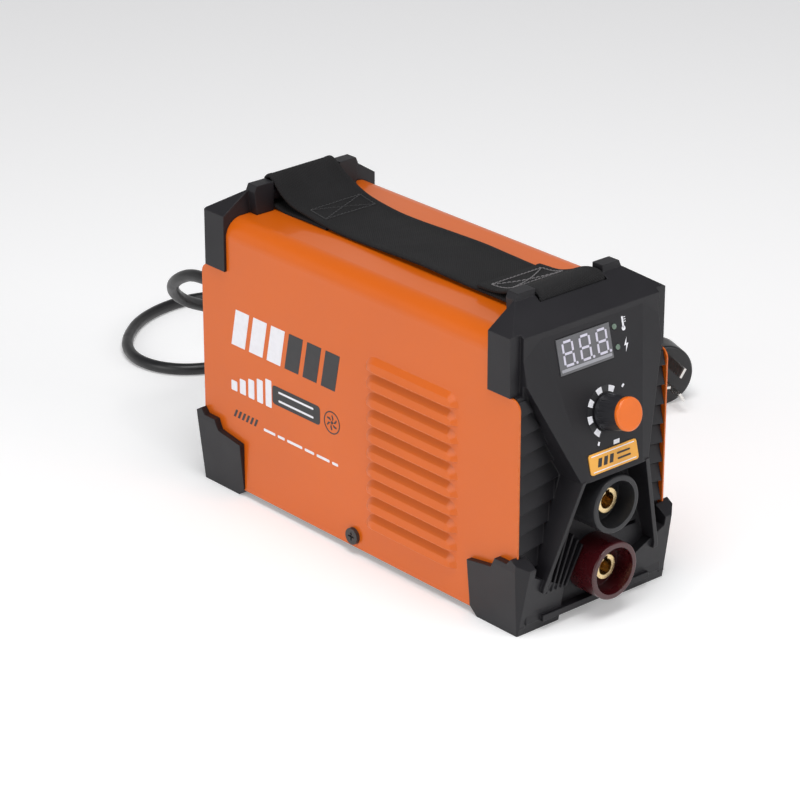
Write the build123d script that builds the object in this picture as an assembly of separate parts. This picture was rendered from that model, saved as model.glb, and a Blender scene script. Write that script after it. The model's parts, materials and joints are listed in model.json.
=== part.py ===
from build123d import *
from math import cos, hypot, pi, radians, sin, sqrt, tan
import os

# Stick welding inverter, in millimetres. +Z up, the control console faces -Y.
# "depth" is measured backwards from the front edge of the steel cover.

# Cover and tray
COVER_WIDTH = 107.0
COVER_LENGTH = 260.0
COVER_BASE = 4.0
COVER_TOP = 164.5
COVER_CORNER = 11.0
SHEET = 1.0
TRAY_BASE = 5.0
TRAY_SHEET = 1.5
TRAY_TOP = TRAY_BASE + TRAY_SHEET

# Louvres pressed into both sides of the cover
LOUVRE_ROWS = 10
LOUVRE_PITCH = 10.3
LOUVRE_TOP = 122.5
LOUVRE_HEIGHT = 7.8
LOUVRE_FRONT = 46.0
LOUVRE_REAR = 119.5
LOUVRE_PROUD = 3.2
LOUVRE_SHEET = 0.8

# Mouldings at both ends
WALL = 2.5
PLATE_FRONT = 3.0
PLATE_BACK = 6.0
BUMPER_HALF_WIDTH = 57.5
SHOULDER_HALF_WIDTH = 55.2
SHOULDER_BASE = 134.0
SHOULDER_FRONT = 5.5
SHOULDER_REAR = 22.5
SHOULDER_SLOPE = ((SHOULDER_HALF_WIDTH, 166.7), (37.5, 178.2))
LUG_INNER = 24.0
LUG_TOP = 181.5
LUG_FRONT = 21.0
LUG_REAR = 28.5
NOTCH_DEPTH = 6.5
NOTCH_BASE = 133.5
NOTCH_CORNER = 6.0
BAR_BASE = 169.5
BAR_TOP = 177.0
BAR_FRONT = 20.2
BAR_REAR = 28.0

# Control console: a flat face that leans back from its lower edge to a crease
CONSOLE_LOW_Z = 84.0
CONSOLE_LOW_DEPTH = -17.3
CREASE_Z = 166.5
CREASE_DEPTH = 4.0
CONSOLE_LEAN = (CREASE_DEPTH - CONSOLE_LOW_DEPTH) / (CREASE_Z - CONSOLE_LOW_Z)
CONSOLE_HALF_WIDTH = 48.5
CREASE_HALF_WIDTH = 37.0
CREST = (17.5, 175.5)

# Welding sockets
SOCKET_HEIGHTS = {"negative": 65.8, "positive": 27.1}
COLLAR_RADIUS = 16.2
COLLAR_BORE = 13.2
COLLAR_FRONT = -18.0
INSERT_RADIUS = 7.5
INSERT_FRONT = -11.0
INSERT_BACK = 14.0
SOCKET_BORE = 4.6
SOCKET_BORE_DEPTH = 20.0
STUD_RADIUS = 4.0
STUD_BACK = 26.0

# Knob on the console, measured up the console face from its lower edge
KNOB_UP = 32.7
KNOB_RADIUS = 9.8
KNOB_TIP_RADIUS = 9.0
KNOB_BASE = 0.8
KNOB_LENGTH = 14.2
KNOB_CAP_LENGTH = 2.4
SHAFT_RADIUS = 3.0

# Display and lamps
DISPLAY_SIZE = (37.6, 19.0)
DISPLAY_AT = (-8.6, 68.5)
LAMP_RADIUS = 1.5
LAMPS_AT = ((13.8, 74.6), (14.2, 63.6))

# Rear fittings
FAN_SIZE = 70.0
FAN_BORE = 33.5
FAN_HUB = 15.0
FAN_THICKNESS = 25.0
FAN_HEIGHT = 57.0
FAN_SCREW_OFFSET = 30.0
REAR_PLATE_BACK = COVER_LENGTH - PLATE_FRONT
REAR_PLATE_FRONT = COVER_LENGTH - PLATE_BACK
FAN_BACK = REAR_PLATE_FRONT
FAN_FRONT = FAN_BACK - FAN_THICKNESS
SWITCH_AT = (22.0, 129.0)
SWITCH_TILT = 10.0
GLAND_AT = (-24.0, 104.5)
GLAND_RADIUS = 7.8
GLAND_BACK = 274.0
BOOT_BACK = 292.0
BOOT_RADII = (8.0, 4.8)

# Power cord
CORD_DIAMETER = 7.2

# Route of the free cord in (x, depth, z). It leaves the boot, hangs in one open turn,
# lies in a wide loop on the floor and reaches the coil from behind.
FLOOR = CORD_DIAMETER / 2
CORD_ROUTE = [
    (GLAND_AT[0], BOOT_BACK, GLAND_AT[1]), (GLAND_AT[0], 305, GLAND_AT[1]), (-24, 319, 98.5),
    (-20.5, 332, 89), (-12, 341, 78), (1, 345, 68), (19, 347, 59.5), (39, 350, 51.5), (60, 355, 44),
    (81, 363, 35.5), (101.5, 374, 26.5), (122, 388, 18), (136.5, 408, 10), (140.5, 430, 5),
    (134, 451, FLOOR), (119, 467, FLOOR), (98, 475, FLOOR), (76, 474, FLOOR), (55, 467, FLOOR),
    (37, 454, FLOOR), (22.5, 438, FLOOR), (15, 418, FLOOR), (18, 398, FLOOR), (31, 382, FLOOR),
    (51, 374, FLOOR), (74, 370.5, FLOOR), (96, 363, FLOOR),
]
COIL_AT = (118.0, 318.0)
COIL_MEAN_RADIUS = 40.0
COIL_TURNS = 5.39
COIL_WIDTH = 3.1 * CORD_DIAMETER
COIL_HEIGHT = 1.95 * CORD_DIAMETER
LEAD_ROUTE = [
    (157, 300, FLOOR), (155, 281, FLOOR), (150, 262, FLOOR), (143.5, 243.5, FLOOR), (139, 224, 7),
    (146, 205.5, 13),
]

# Plug: a round moulded body standing on its rim, its cord leaving sideways
PLUG_AT = (217.0, 159.0)
PLUG_RADIUS = 19.0
PLUG_THICKNESS = 21.0
PLUG_FACE = (-0.35, -0.94)
PLUG_NECK = 44.0
BLADE_SIZE = (6.3, 1.6, 17.0)

# Power electronics
BOARD_TOP = 14.6
BOARD_HALF = 46.0
BOARD_SPAN = (34.0, 212.0)
SINK_SPAN = (62.0, 142.0)
BOARD_SCREWS = [(x, depth) for x in (-42, 42) for depth in (40, 206)]
CHOKE = ((-30, 44, 34), 15.0, 8.5, 12.0)
FILTER = ((-11, 203, 25), 9.0, 5.0, 6.0)

# The origin is the middle of the overall length, on the floor
CONSOLE_ANGLE = hypot(1, CONSOLE_LEAN)
LEAN_SIN = CONSOLE_LEAN / CONSOLE_ANGLE
LEAN_COS = 1 / CONSOLE_ANGLE
KNOB_REACH = KNOB_BASE + KNOB_LENGTH + KNOB_CAP_LENGTH
CAP_ROUNDING = 1.0
FRONT_REACH = (-CONSOLE_LOW_DEPTH - KNOB_UP * LEAN_SIN + (KNOB_REACH - CAP_ROUNDING) * LEAN_COS
               + (KNOB_TIP_RADIUS - CAP_ROUNDING) * LEAN_SIN + CAP_ROUNDING)
FRONT_EDGE = -(GLAND_BACK - FRONT_REACH) / 2

INNER_HALF = COVER_WIDTH / 2 - SHEET


def at(x, depth, z):
    """A point given by its depth behind the cover's front edge."""
    return (x, FRONT_EDGE + depth, z)


def prism_along_y(outline, depth_a, depth_b):
    """An outline of (x, z) points, extruded from one depth to the other."""
    face = make_face(Polyline([at(x, depth_a, z) for x, z in outline], close=True))
    return extrude(face, amount=depth_b - depth_a, dir=(0, 1, 0))


def prism_along_x(outline, x_a, x_b):
    """An outline of (depth, z) points, extruded from one x to the other."""
    face = make_face(Polyline([at(x_a, d, z) for d, z in outline], close=True))
    return extrude(face, amount=x_b - x_a, dir=(1, 0, 0))


def prism_along_z(outline, z_a, z_b):
    """An outline of (x, depth) points, extruded from one height to the other."""
    face = make_face(Polyline([at(x, d, z_a) for x, d in outline], close=True))
    return extrude(face, amount=z_b - z_a, dir=(0, 0, 1))


def block(x_span, depth_span, z_span):
    """A box given by its spans in x, depth and height."""
    size = (x_span[1] - x_span[0], depth_span[1] - depth_span[0], z_span[1] - z_span[0])
    middle = at(sum(x_span) / 2, sum(depth_span) / 2, sum(z_span) / 2)
    return Pos(*middle) * Box(*size)


def rod_along_y(x, z, radius, depth_a, depth_b):
    """A round bar that runs backwards from depth_a to depth_b."""
    return Pos(*at(x, (depth_a + depth_b) / 2, z)) * Rot(90, 0, 0) * Cylinder(radius, depth_b - depth_a)


def rod_along_x(depth, z, radius, x_a, x_b):
    """A round bar that runs sideways."""
    return Pos(*at((x_a + x_b) / 2, depth, z)) * Rot(0, 90, 0) * Cylinder(radius, x_b - x_a)


def rod_along_z(x, depth, radius, z_a, z_b):
    """A round bar that stands up."""
    return Pos(*at(x, depth, (z_a + z_b) / 2)) * Cylinder(radius, z_b - z_a)


def hexagon_along_y(x, z, across_flats, depth_a, depth_b):
    """A hexagonal nut blank."""
    corner = across_flats / sqrt(3)
    outline = [(x + corner * cos(radians(60 * k)), z + corner * sin(radians(60 * k))) for k in range(6)]
    return prism_along_y(outline, depth_a, depth_b)


def both_sides(part):
    """The part together with its mirror image across the middle plane."""
    return part + mirror(part, about=Plane.YZ)


def cut_outside(part, inside, a, b, c):
    """Cuts away what lies beyond the plane through a, b and c, seen from the inside point."""
    origin = Vector(*at(*a))
    normal = (Vector(*at(*b)) - origin).cross(Vector(*at(*c)) - origin).normalized()
    if (Vector(*at(*inside)) - origin).dot(normal) > 0:
        normal = normal * -1
    return split(part, bisect_by=Plane(origin=origin, z_dir=normal), keep=Keep.BOTTOM)


def group(parts):
    """Separate solids kept in one node."""
    return Compound(children=[solid for part in parts for solid in part.solids()])


# ---------------------------------------------------------------- cover

def cover_profile(grow, depth_a, depth_b, base=COVER_BASE):
    """The solid outline of the cover, grown outwards or inwards by an offset."""
    half = COVER_WIDTH / 2 + grow
    top = COVER_TOP + grow
    corner = COVER_CORNER + grow
    left = Line(at(-half, depth_a, base), at(-half, depth_a, top - corner))
    rise = ThreePointArc(at(-half, depth_a, top - corner),
                         at(-half + corner * (1 - cos(pi / 4)), depth_a, top - corner * (1 - sin(pi / 4))),
                         at(-half + corner, depth_a, top))
    across = Line(at(-half + corner, depth_a, top), at(half - corner, depth_a, top))
    fall = ThreePointArc(at(half - corner, depth_a, top),
                         at(half - corner * (1 - cos(pi / 4)), depth_a, top - corner * (1 - sin(pi / 4))),
                         at(half, depth_a, top - corner))
    right = Line(at(half, depth_a, top - corner), at(half, depth_a, base))
    close = Line(at(half, depth_a, base), at(-half, depth_a, base))
    face = make_face([left, rise, across, fall, right, close])
    return extrude(face, amount=depth_b - depth_a, dir=(0, 1, 0))


def louvre_hood(z_top, thinner):
    """The outward bulge of one louvre, flush at its top and ends; thinner gives the hollow inside it."""
    surface = COVER_WIDTH / 2
    z_low = z_top - LOUVRE_HEIGHT
    height = LOUVRE_HEIGHT - thinner
    proud = LOUVRE_PROUD - thinner
    knee_height, knee_proud = 0.55 * height, 0.75 * proud
    root = surface - (SHEET / 2 if thinner == 0 else 2 * SHEET)
    front, rear = LOUVRE_FRONT + LOUVRE_HEIGHT, LOUVRE_REAR - LOUVRE_HEIGHT
    outline = [(root, z_low), (surface + proud, z_low), (surface + knee_proud, z_low + knee_height),
               (surface, z_low + height), (root, z_low + height)]
    hood = prism_along_y(outline, front, rear)
    above = block((root, surface + proud), (LOUVRE_FRONT - 1, LOUVRE_REAR + 1), (z_low, z_top + 1))
    for depth in (front, rear):
        skirt = Cone(height, knee_height, knee_proud)
        tip = Cone(knee_height, 0.01, proud - knee_proud)
        end = rod_along_x(depth, z_low, height, root, surface)
        end += Pos(*at(surface + knee_proud / 2, depth, z_low)) * Rot(0, 90, 0) * skirt
        end += Pos(*at(surface + (proud + knee_proud) / 2, depth, z_low)) * Rot(0, 90, 0) * tip
        hood += end & above
    return hood


def cover_notch():
    """What is cut from the cover's front edge beside the console, with a rounded lower corner."""
    notch = block((-60, 60), (-1, NOTCH_DEPTH), (NOTCH_BASE, COVER_TOP + 1))
    corner = block((-60, 60), (-1, NOTCH_CORNER), (NOTCH_BASE - NOTCH_CORNER, NOTCH_BASE))
    return notch + corner - rod_along_x(NOTCH_CORNER, NOTCH_BASE - NOTCH_CORNER, NOTCH_CORNER, -61, 61)


def seen_from_behind(part):
    """The part's mirror image at the other end of the cover."""
    return mirror(part, about=Plane(origin=at(0, COVER_LENGTH / 2, 0), z_dir=(0, 1, 0)))


def make_cover():
    """Wrap-around sheet with louvres and a screw hole on each side, notched at its upper corners."""
    cover = cover_profile(0, 0, COVER_LENGTH)
    cover -= cover_profile(-SHEET, -1, COVER_LENGTH + 1, base=COVER_BASE - 1)
    tops = [LOUVRE_TOP - row * LOUVRE_PITCH for row in range(LOUVRE_ROWS)]
    for z_top in tops:
        cover += both_sides(louvre_hood(z_top, 0))
    for z_top in tops:
        cover -= both_sides(Pos(0, 0, -0.2) * louvre_hood(z_top, LOUVRE_SHEET))
    cover -= cover_notch() + seen_from_behind(cover_notch())
    screw_hole = rod_along_x(COVER_LENGTH / 2, 10.7, 2.2, -COVER_WIDTH, COVER_WIDTH)
    return cover - screw_hole


def make_tray():
    """Steel tray that the boards and the end mouldings are fixed to."""
    front, rear = PLATE_BACK + 1.0, REAR_PLATE_FRONT - 1.0
    flange = INNER_HALF - 0.3
    tray = block((-flange, flange), (front, rear), (TRAY_BASE, TRAY_TOP))
    tray += both_sides(block((flange - TRAY_SHEET, flange), (front, rear), (TRAY_TOP, 18.5)))
    for slot in range(6):
        depth = 60 + 22 * slot
        tray -= block((-28, 28), (depth, depth + 5), (TRAY_BASE - 1, TRAY_TOP + 1))
    tray -= rod_along_x(COVER_LENGTH / 2, 10.7, 1.7, -COVER_WIDTH, COVER_WIDTH)
    for x in (-40, 40):
        for depth in (12.0, COVER_LENGTH - 12.0):
            tray -= rod_along_z(x, depth, 1.7, TRAY_BASE - 1, TRAY_TOP + 1)
    return tray


# ---------------------------------------------------------------- end mouldings

def lower_bumper():
    """Right-hand corner bumper that flares outwards as it rises, with the foot under the cover."""
    outer = BUMPER_HALF_WIDTH
    front = prism_along_y([(outer, 40), (26, 23), (24, 20), (24, 5), (28, 0), (outer, 0)], -8, PLATE_FRONT)
    steps = [(-8, 40), (1, 45.5), (4, 42), (13, 42), (16, 36), (35, 33), (35, 5), (30, 0), (-8, 0)]
    side = prism_along_x(steps, COVER_WIDTH / 2 - 6, outer)
    foot = block((24, outer), (-8, 30), (0, COVER_BASE - 0.2))
    bumper = front + side + foot
    inside = (40, 10, 3)
    bumper = cut_outside(bumper, inside, (0, -8, 39), (1, -8, 39), (0, -1, 0))
    bumper = cut_outside(bumper, inside, (outer, 0, 39), (outer, 1, 39), (54, 0, 0))
    bumper = cut_outside(bumper, inside, (outer, -2.5, 39), (outer - 5.5, -8, 39), (54, -0.6, 0))
    return bumper


def under_slope(part):
    """The part cut by the outer slope of the shoulder and by the slope that rises from the crease."""
    inside = (0, 15, 140)
    (low_x, low_z), (high_x, high_z) = SHOULDER_SLOPE
    part = cut_outside(part, inside, (low_x, 0, low_z), (low_x, 1, low_z), (high_x, 0, high_z))
    return cut_outside(part, inside, (0, CREASE_DEPTH, CREASE_Z), (1, CREASE_DEPTH, CREASE_Z), (0, *CREST))


def shoulder():
    """Right-hand upper corner, set back beside the console, with its strap lug."""
    corner = block((40, SHOULDER_HALF_WIDTH), (SHOULDER_FRONT, SHOULDER_REAR), (SHOULDER_BASE, LUG_TOP))
    lug_outline = [(LUG_INNER, COVER_TOP), (36, COVER_TOP), SHOULDER_SLOPE[1], (36, LUG_TOP),
                   (LUG_INNER, LUG_TOP)]
    lug = prism_along_y(lug_outline, LUG_FRONT, LUG_REAR)
    return under_slope(corner) + lug


def crown():
    """Right-hand half of the sloping top between the crease and the strap's slot."""
    front = block((0, CONSOLE_HALF_WIDTH), (PLATE_FRONT, NOTCH_DEPTH), (150, LUG_TOP))
    top = block((0, CONSOLE_HALF_WIDTH), (NOTCH_DEPTH - 1, 17.2), (150, LUG_TOP))
    beside_slot = block((LUG_INNER, CONSOLE_HALF_WIDTH), (17, SHOULDER_REAR), (150, LUG_TOP))
    return under_slope(front + top + beside_slot)


def strap_bar():
    """Bar between the lugs that the strap is folded round."""
    bar = block((-LUG_INNER - 1, LUG_INNER + 1), (BAR_FRONT, BAR_REAR), (BAR_BASE, BAR_TOP))
    return fillet(bar.edges().filter_by(Axis.X), 2.6)


def moulding_base():
    """What both end mouldings share: plate, corner bumpers, shoulders, lugs, strap bar and bosses."""
    plate = cover_profile(-SHEET - 0.2, PLATE_FRONT, PLATE_BACK, base=COVER_BASE + 0.3)
    plate -= both_sides(block((CONSOLE_HALF_WIDTH, 60), (0, SHOULDER_FRONT), (NOTCH_BASE + 0.5, COVER_TOP)))
    rim = cover_profile(0, -2, -0.2) - cover_profile(-4.0, -3, 1, base=COVER_BASE - 1)
    rim -= block((-60, 60), (-3, 1), (40, LUG_TOP))
    outside = both_sides(lower_bumper()) + both_sides(shoulder()) + both_sides(crown()) + strap_bar()
    under_cover = cover_profile(0.15, -0.2, COVER_LENGTH, base=COVER_BASE - 0.2)
    under_cover -= block((-60, 60), (-1, NOTCH_DEPTH - 0.2), (NOTCH_BASE, LUG_TOP))
    outside -= under_cover
    front_tie = both_sides(block((24, INNER_HALF - 3.2), (-3, PLATE_FRONT + 1), (6, 20)))
    boss = rod_along_z(40, 12, 4.5, TRAY_TOP + 0.1, 17) + block((36, 44), (5.5, 12), (TRAY_TOP + 0.1, 17))
    boss -= rod_along_z(40, 12, 1.55, TRAY_TOP - 1, 14)
    return plate + rim + outside + front_tie + both_sides(boss)


def console_block(inset, depth_back, z_low, z_high):
    """The console as a solid cut by its facets; a positive inset gives the hollow inside it."""
    half = CONSOLE_HALF_WIDTH
    body = block((-half + inset, half - inset), (-30, depth_back), (z_low, z_high))
    inside = (0, 0, 120)
    low_front = (19, CONSOLE_LOW_DEPTH + inset, CONSOLE_LOW_Z)
    high_front = (CREASE_HALF_WIDTH, CREASE_DEPTH + inset, CREASE_Z)
    side_low = (half, inset, 140)
    body = cut_outside(body, inside, low_front, high_front, (-19, CONSOLE_LOW_DEPTH + inset, CONSOLE_LOW_Z))
    body = cut_outside(body, inside, (0, CREASE_DEPTH, CREASE_Z - inset), (1, CREASE_DEPTH, CREASE_Z - inset),
                       (0, CREST[0], CREST[1] - inset))
    for side in (1, -1):
        body = cut_outside(body, inside, (side * low_front[0], *low_front[1:]),
                           (side * high_front[0], *high_front[1:]), (side * side_low[0], *side_low[1:]))
        body = cut_outside(body, inside, (side * (half - inset), 0, 140), (side * (half - inset), 1, 140),
                           (side * (24 - inset), 0, CONSOLE_LOW_Z))
    return body


def console_location():
    """Local frame on the console face: x across, y up the face, z outwards."""
    return Plane(origin=at(0, CONSOLE_LOW_DEPTH, CONSOLE_LOW_Z), x_dir=(1, 0, 0),
                 z_dir=(0, -LEAN_COS, LEAN_SIN)).location


def on_console(x, up, out):
    """A place on the console face, out being the height above it."""
    return console_location() * Pos(x, up, out)


def recess_struts():
    """Slanted side walls of the socket recess."""
    strut = prism_along_y([(21.5, 85), (24, 85), (42, 27), (42, 24), (39, 24), (39, 28)], -18, PLATE_FRONT)
    return both_sides(cut_outside(strut, (30, 0, 30), (0, -17, 84), (1, -17, 84), (0, -7.5, 22)))


def recess_ribs():
    """Fine ribs beside the positive socket, slanted on the left and level on the right."""
    ribs = []
    for k in range(5):
        shift = 3.4 * k
        ribs.append(prism_along_y([(-26.5 + shift, 58 - 4 * k), (-25.3 + shift, 58 - 4 * k),
                                   (-36.6 + shift, 22), (-37.8 + shift, 22)], -6, 0.5))
    return Compound(children=[rib.solid() for rib in ribs])


def side_slats():
    """Stepped slats on both sides of the console, each rising towards the middle."""
    area = prism_along_y([(-51.9, 132), (-47, 132), (-22, 84), (-40, 26), (-51.9, 36)], -2, PLATE_FRONT)
    slats = []
    for row in range(9):
        z = 34 + 11.2 * row
        wedge = prism_along_x([(PLATE_FRONT + 0.5, z), (0.2, z + 0.8), (PLATE_FRONT - 0.2, z + 10.2),
                               (PLATE_FRONT + 0.5, z + 10.2)], -56, -18)
        tilted = wedge.rotate(Axis(at(-52, 0, z), (0, 1, 0)), -8)
        slats.append(tilted & area)
    left = slats[0]
    for slat in slats[1:]:
        left += slat
    return both_sides(left)


def make_front_moulding():
    """Front moulding: console, slats, socket recess, bumpers and strap bar."""
    body = moulding_base()
    console = console_block(0, PLATE_FRONT + 1, CONSOLE_LOW_Z, CREST[1])
    floor = prism_along_y([(-24, 86), (24, 86), (41, 28), (41, 6), (-41, 6), (-41, 28)], 0, PLATE_FRONT + 1)
    lip = block((-39, 39), (-5, 1), (5.5, 9))
    body += console + floor + lip + recess_struts() + side_slats()
    body += recess_ribs()
    body -= console_block(WALL, PLATE_BACK + 1, CONSOLE_LOW_Z + WALL, 161)
    body -= on_console(*DISPLAY_AT, 0) * Box(DISPLAY_SIZE[0] + 0.4, DISPLAY_SIZE[1] + 0.4, 12)
    for x, up in LAMPS_AT:
        body -= on_console(x, up, 0) * Cylinder(LAMP_RADIUS + 0.1, 12)
    body -= on_console(0, KNOB_UP, 0) * Cylinder(3.7, 12)
    for height in SOCKET_HEIGHTS.values():
        body -= rod_along_y(0, height, 9.2, -2, PLATE_BACK + 1)
    for row in range(5):
        z = 38.5 + 4.6 * row
        body -= block((20, 33 - 2 * row), (-1, PLATE_BACK + 1), (z, z + 2.0))
    return body


def make_rear_moulding():
    """Rear moulding: the same corners and strap bar round a flat plate for the fan and mains fittings."""
    body = seen_from_behind(moulding_base())
    body -= rod_along_y(0, FAN_HEIGHT, FAN_BORE - 0.5, REAR_PLATE_FRONT - 1, COVER_LENGTH + 3)
    for x, z in fan_screw_places():
        body -= rod_along_y(x, z, 2.15, REAR_PLATE_FRONT - 1, COVER_LENGTH + 3)
        body -= rod_along_y(x, z, 4.8, REAR_PLATE_BACK, COVER_LENGTH + 12)
    x, z = SWITCH_AT
    body -= block((x - 10.8, x + 10.8), (REAR_PLATE_FRONT - 1, REAR_PLATE_BACK + 1), (z - 15.1, z + 15.1))
    body -= rod_along_y(*GLAND_AT, GLAND_RADIUS + 0.2, REAR_PLATE_FRONT - 1, REAR_PLATE_BACK + 1)
    return body


# ---------------------------------------------------------------- console fittings

def make_display_window():
    """Tinted display module that fills the console's display opening."""
    x, up = DISPLAY_AT
    return on_console(x, up, -3.4) * Box(DISPLAY_SIZE[0], DISPLAY_SIZE[1], 7.6)


def digit_segments(width, height, bar):
    """The seven bars of one digit, as boxes in its own frame."""
    half = height / 2
    places = [(0, half), (0, 0), (0, -half)]
    bars = [Pos(x, y, 0) * Box(width - 1.2 * bar, bar, 0.2) for x, y in places]
    for x in (-width / 2, width / 2):
        for y in (-half / 2, half / 2):
            bars.append(Pos(x, y, 0) * Box(bar, half - 1.2 * bar, 0.2))
    return bars


def make_display_digits():
    """Three seven-segment digits with their decimal points, on the face of the window."""
    solids = []
    for column in (-11.6, 0.4, 12.4):
        for bar in digit_segments(6.6, 12.4, 1.25):
            solids.append(on_console(DISPLAY_AT[0] + column, DISPLAY_AT[1] + 1.0, 0.5) * bar)
        dot = on_console(DISPLAY_AT[0] + column + 4.9, DISPLAY_AT[1] - 5.2, 0.5) * Cylinder(0.75, 0.2)
        solids.append(dot)
    return group(solids)


def make_lamps():
    """Two small indicator lamps with domed ends."""
    lamps = []
    for x, up in LAMPS_AT:
        lamps.append(on_console(x, up, -3) * Cylinder(LAMP_RADIUS, 6.6))
    return group(lamps)


def make_badge():
    """Nameplate with rounded corners, fixed on the lower part of the console."""
    plate = extrude(RectangleRounded(34.5, 11.0, 1.6), amount=0.6)
    return on_console(-0.8, 8.6, 0.0) * plate


def make_knob_body():
    """Knob with a fluted grip and a hollow skirt that hides the potentiometer's nut."""
    body = Pos(0, 0, KNOB_LENGTH / 2) * Cone(KNOB_RADIUS, KNOB_TIP_RADIUS, KNOB_LENGTH)
    flutes = 20
    for k in range(flutes):
        turned = Rot(0, 0, 360 * k / flutes)
        body -= turned * Pos(KNOB_RADIUS + 0.25, 0, KNOB_LENGTH / 2 + 2) * Cylinder(0.8, KNOB_LENGTH)
    body -= Pos(0, 0, 2.6) * Cylinder(7.6, 5.2)
    body -= Pos(0, 0, 8) * Cylinder(SHAFT_RADIUS, 11.6)
    return on_console(0, KNOB_UP, KNOB_BASE) * body


def make_knob_cap():
    """Orange cap on the knob's end."""
    disc = Pos(0, 0, KNOB_CAP_LENGTH / 2) * Cylinder(KNOB_TIP_RADIUS, KNOB_CAP_LENGTH)
    disc = fillet(disc.edges().group_by(Axis.Z)[-1], CAP_ROUNDING)
    return on_console(0, KNOB_UP, KNOB_BASE + KNOB_LENGTH) * disc


def make_pot_body():
    """Potentiometer case with its threaded bush through the console wall."""
    case = Pos(0, 0, -9.7) * Cylinder(8.2, 9.4)
    bush = Pos(0, 0, -0.5) * Cylinder(3.5, 9.0)
    bore = Pos(0, 0, -2) * Cylinder(SHAFT_RADIUS + 0.05, 20)
    return on_console(0, KNOB_UP, 0) * (case + bush - bore)


def make_pot_nut():
    """Thin nut that clamps the bush to the console."""
    nut = extrude(RegularPolygon(5.8, 6), amount=2.2) - Pos(0, 0, 1.1) * Cylinder(3.5, 4)
    return on_console(0, KNOB_UP, 0) * nut


def make_pot_shaft():
    """Shaft that turns with the knob, running in the bush."""
    return on_console(0, KNOB_UP, 3.2) * Cylinder(SHAFT_RADIUS, 22.8)


def make_control_board():
    """Board behind the console that carries the display and the potentiometer."""
    board = Pos(0, 47, -15.4) * Box(50, 48, 1.6)
    board -= Pos(0, KNOB_UP, -15.4) * Cylinder(4.5, 4)
    return console_location() * board


# ---------------------------------------------------------------- welding sockets

def make_collar(height):
    """Insulating collar: a deep cup round the insert, with a spigot through the moulding."""
    collar = rod_along_y(0, height, COLLAR_RADIUS, COLLAR_FRONT, -0.05)
    collar = fillet(collar.edges().group_by(Axis.Y)[0], 0.8)
    collar -= rod_along_y(0, height, COLLAR_BORE, COLLAR_FRONT - 1, -6)
    collar += rod_along_y(0, height, 9.0, -1, PLATE_BACK)
    return collar - rod_along_y(0, height, INSERT_RADIUS + 0.05, -7, PLATE_BACK + 1)


def make_insert(height):
    """Brass insert with the plug bore, its bayonet keyway and a stud for the bus bar."""
    insert = rod_along_y(0, height, INSERT_RADIUS, INSERT_FRONT, INSERT_BACK)
    insert = chamfer(insert.edges().group_by(Axis.Y)[0], 0.6)
    insert += rod_along_y(0, height, STUD_RADIUS, INSERT_BACK - 1, STUD_BACK)
    insert -= rod_along_y(0, height, SOCKET_BORE, INSERT_FRONT - 1, INSERT_FRONT + SOCKET_BORE_DEPTH)
    keyway = block((-1.4, 1.4), (INSERT_FRONT - 1, INSERT_FRONT + 12), (height, height + 6.1))
    return insert - keyway


def make_socket_washers():
    """Steel washers behind the moulding."""
    rings = []
    for height in SOCKET_HEIGHTS.values():
        ring = rod_along_y(0, height, 12.0, PLATE_BACK + 0.05, PLATE_BACK + 1.5)
        rings.append(ring - rod_along_y(0, height, INSERT_RADIUS + 0.1, PLATE_BACK - 1, PLATE_BACK + 3))
    return group(rings)


def make_socket_nuts():
    """Brass nuts that pull the inserts against the moulding."""
    nuts = []
    for height in SOCKET_HEIGHTS.values():
        nut = hexagon_along_y(0, height, 22.0, PLATE_BACK + 1.55, PLATE_BACK + 6.5)
        nuts.append(nut - rod_along_y(0, height, INSERT_RADIUS, PLATE_BACK, PLATE_BACK + 8))
    return group(nuts)


def make_terminal_nuts():
    """Nuts that hold the bus bars on the studs."""
    nuts = []
    for height in SOCKET_HEIGHTS.values():
        nut = hexagon_along_y(0, height, 13.0, INSERT_BACK + 2.55, INSERT_BACK + 8)
        nuts.append(nut - rod_along_y(0, height, STUD_RADIUS, INSERT_BACK, INSERT_BACK + 10))
    return group(nuts)


def make_bus_bar(height, side):
    """Bent copper bar from a socket stud back into the machine."""
    outline = [(-10, INSERT_BACK + 0.05), (12.5, INSERT_BACK + 0.05), (12.5, 58), (10, 58),
               (10, INSERT_BACK + 2.5), (-10, INSERT_BACK + 2.5)]
    bar = prism_along_z([(side * x, d) for x, d in outline], height - 7.8, height + 7.8)
    return bar - rod_along_y(0, height, STUD_RADIUS + 0.1, INSERT_BACK - 1, INSERT_BACK + 4)


# ---------------------------------------------------------------- strap and screws

def make_strap():
    """Carry strap: flat on the cover in the middle, folded over the bar at each end."""
    half_thickness = 1.0
    rise = [(18.6, 169.6), (18.6, 176.4), (20.8, 178.9), (29.6, 178.9), (33.4, 176.6), (45.0, 169.0),
            (66.0, 166.5)]
    route = rise + [(COVER_LENGTH - d, z) for d, z in reversed(rise)]
    line = FilletPolyline([at(0, d, z) for d, z in route], radius=1.5)
    section = Plane(origin=line @ 0, z_dir=line % 0, x_dir=(1, 0, 0)) * Rectangle(46, 2 * half_thickness)
    return sweep(section, path=line)


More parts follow.
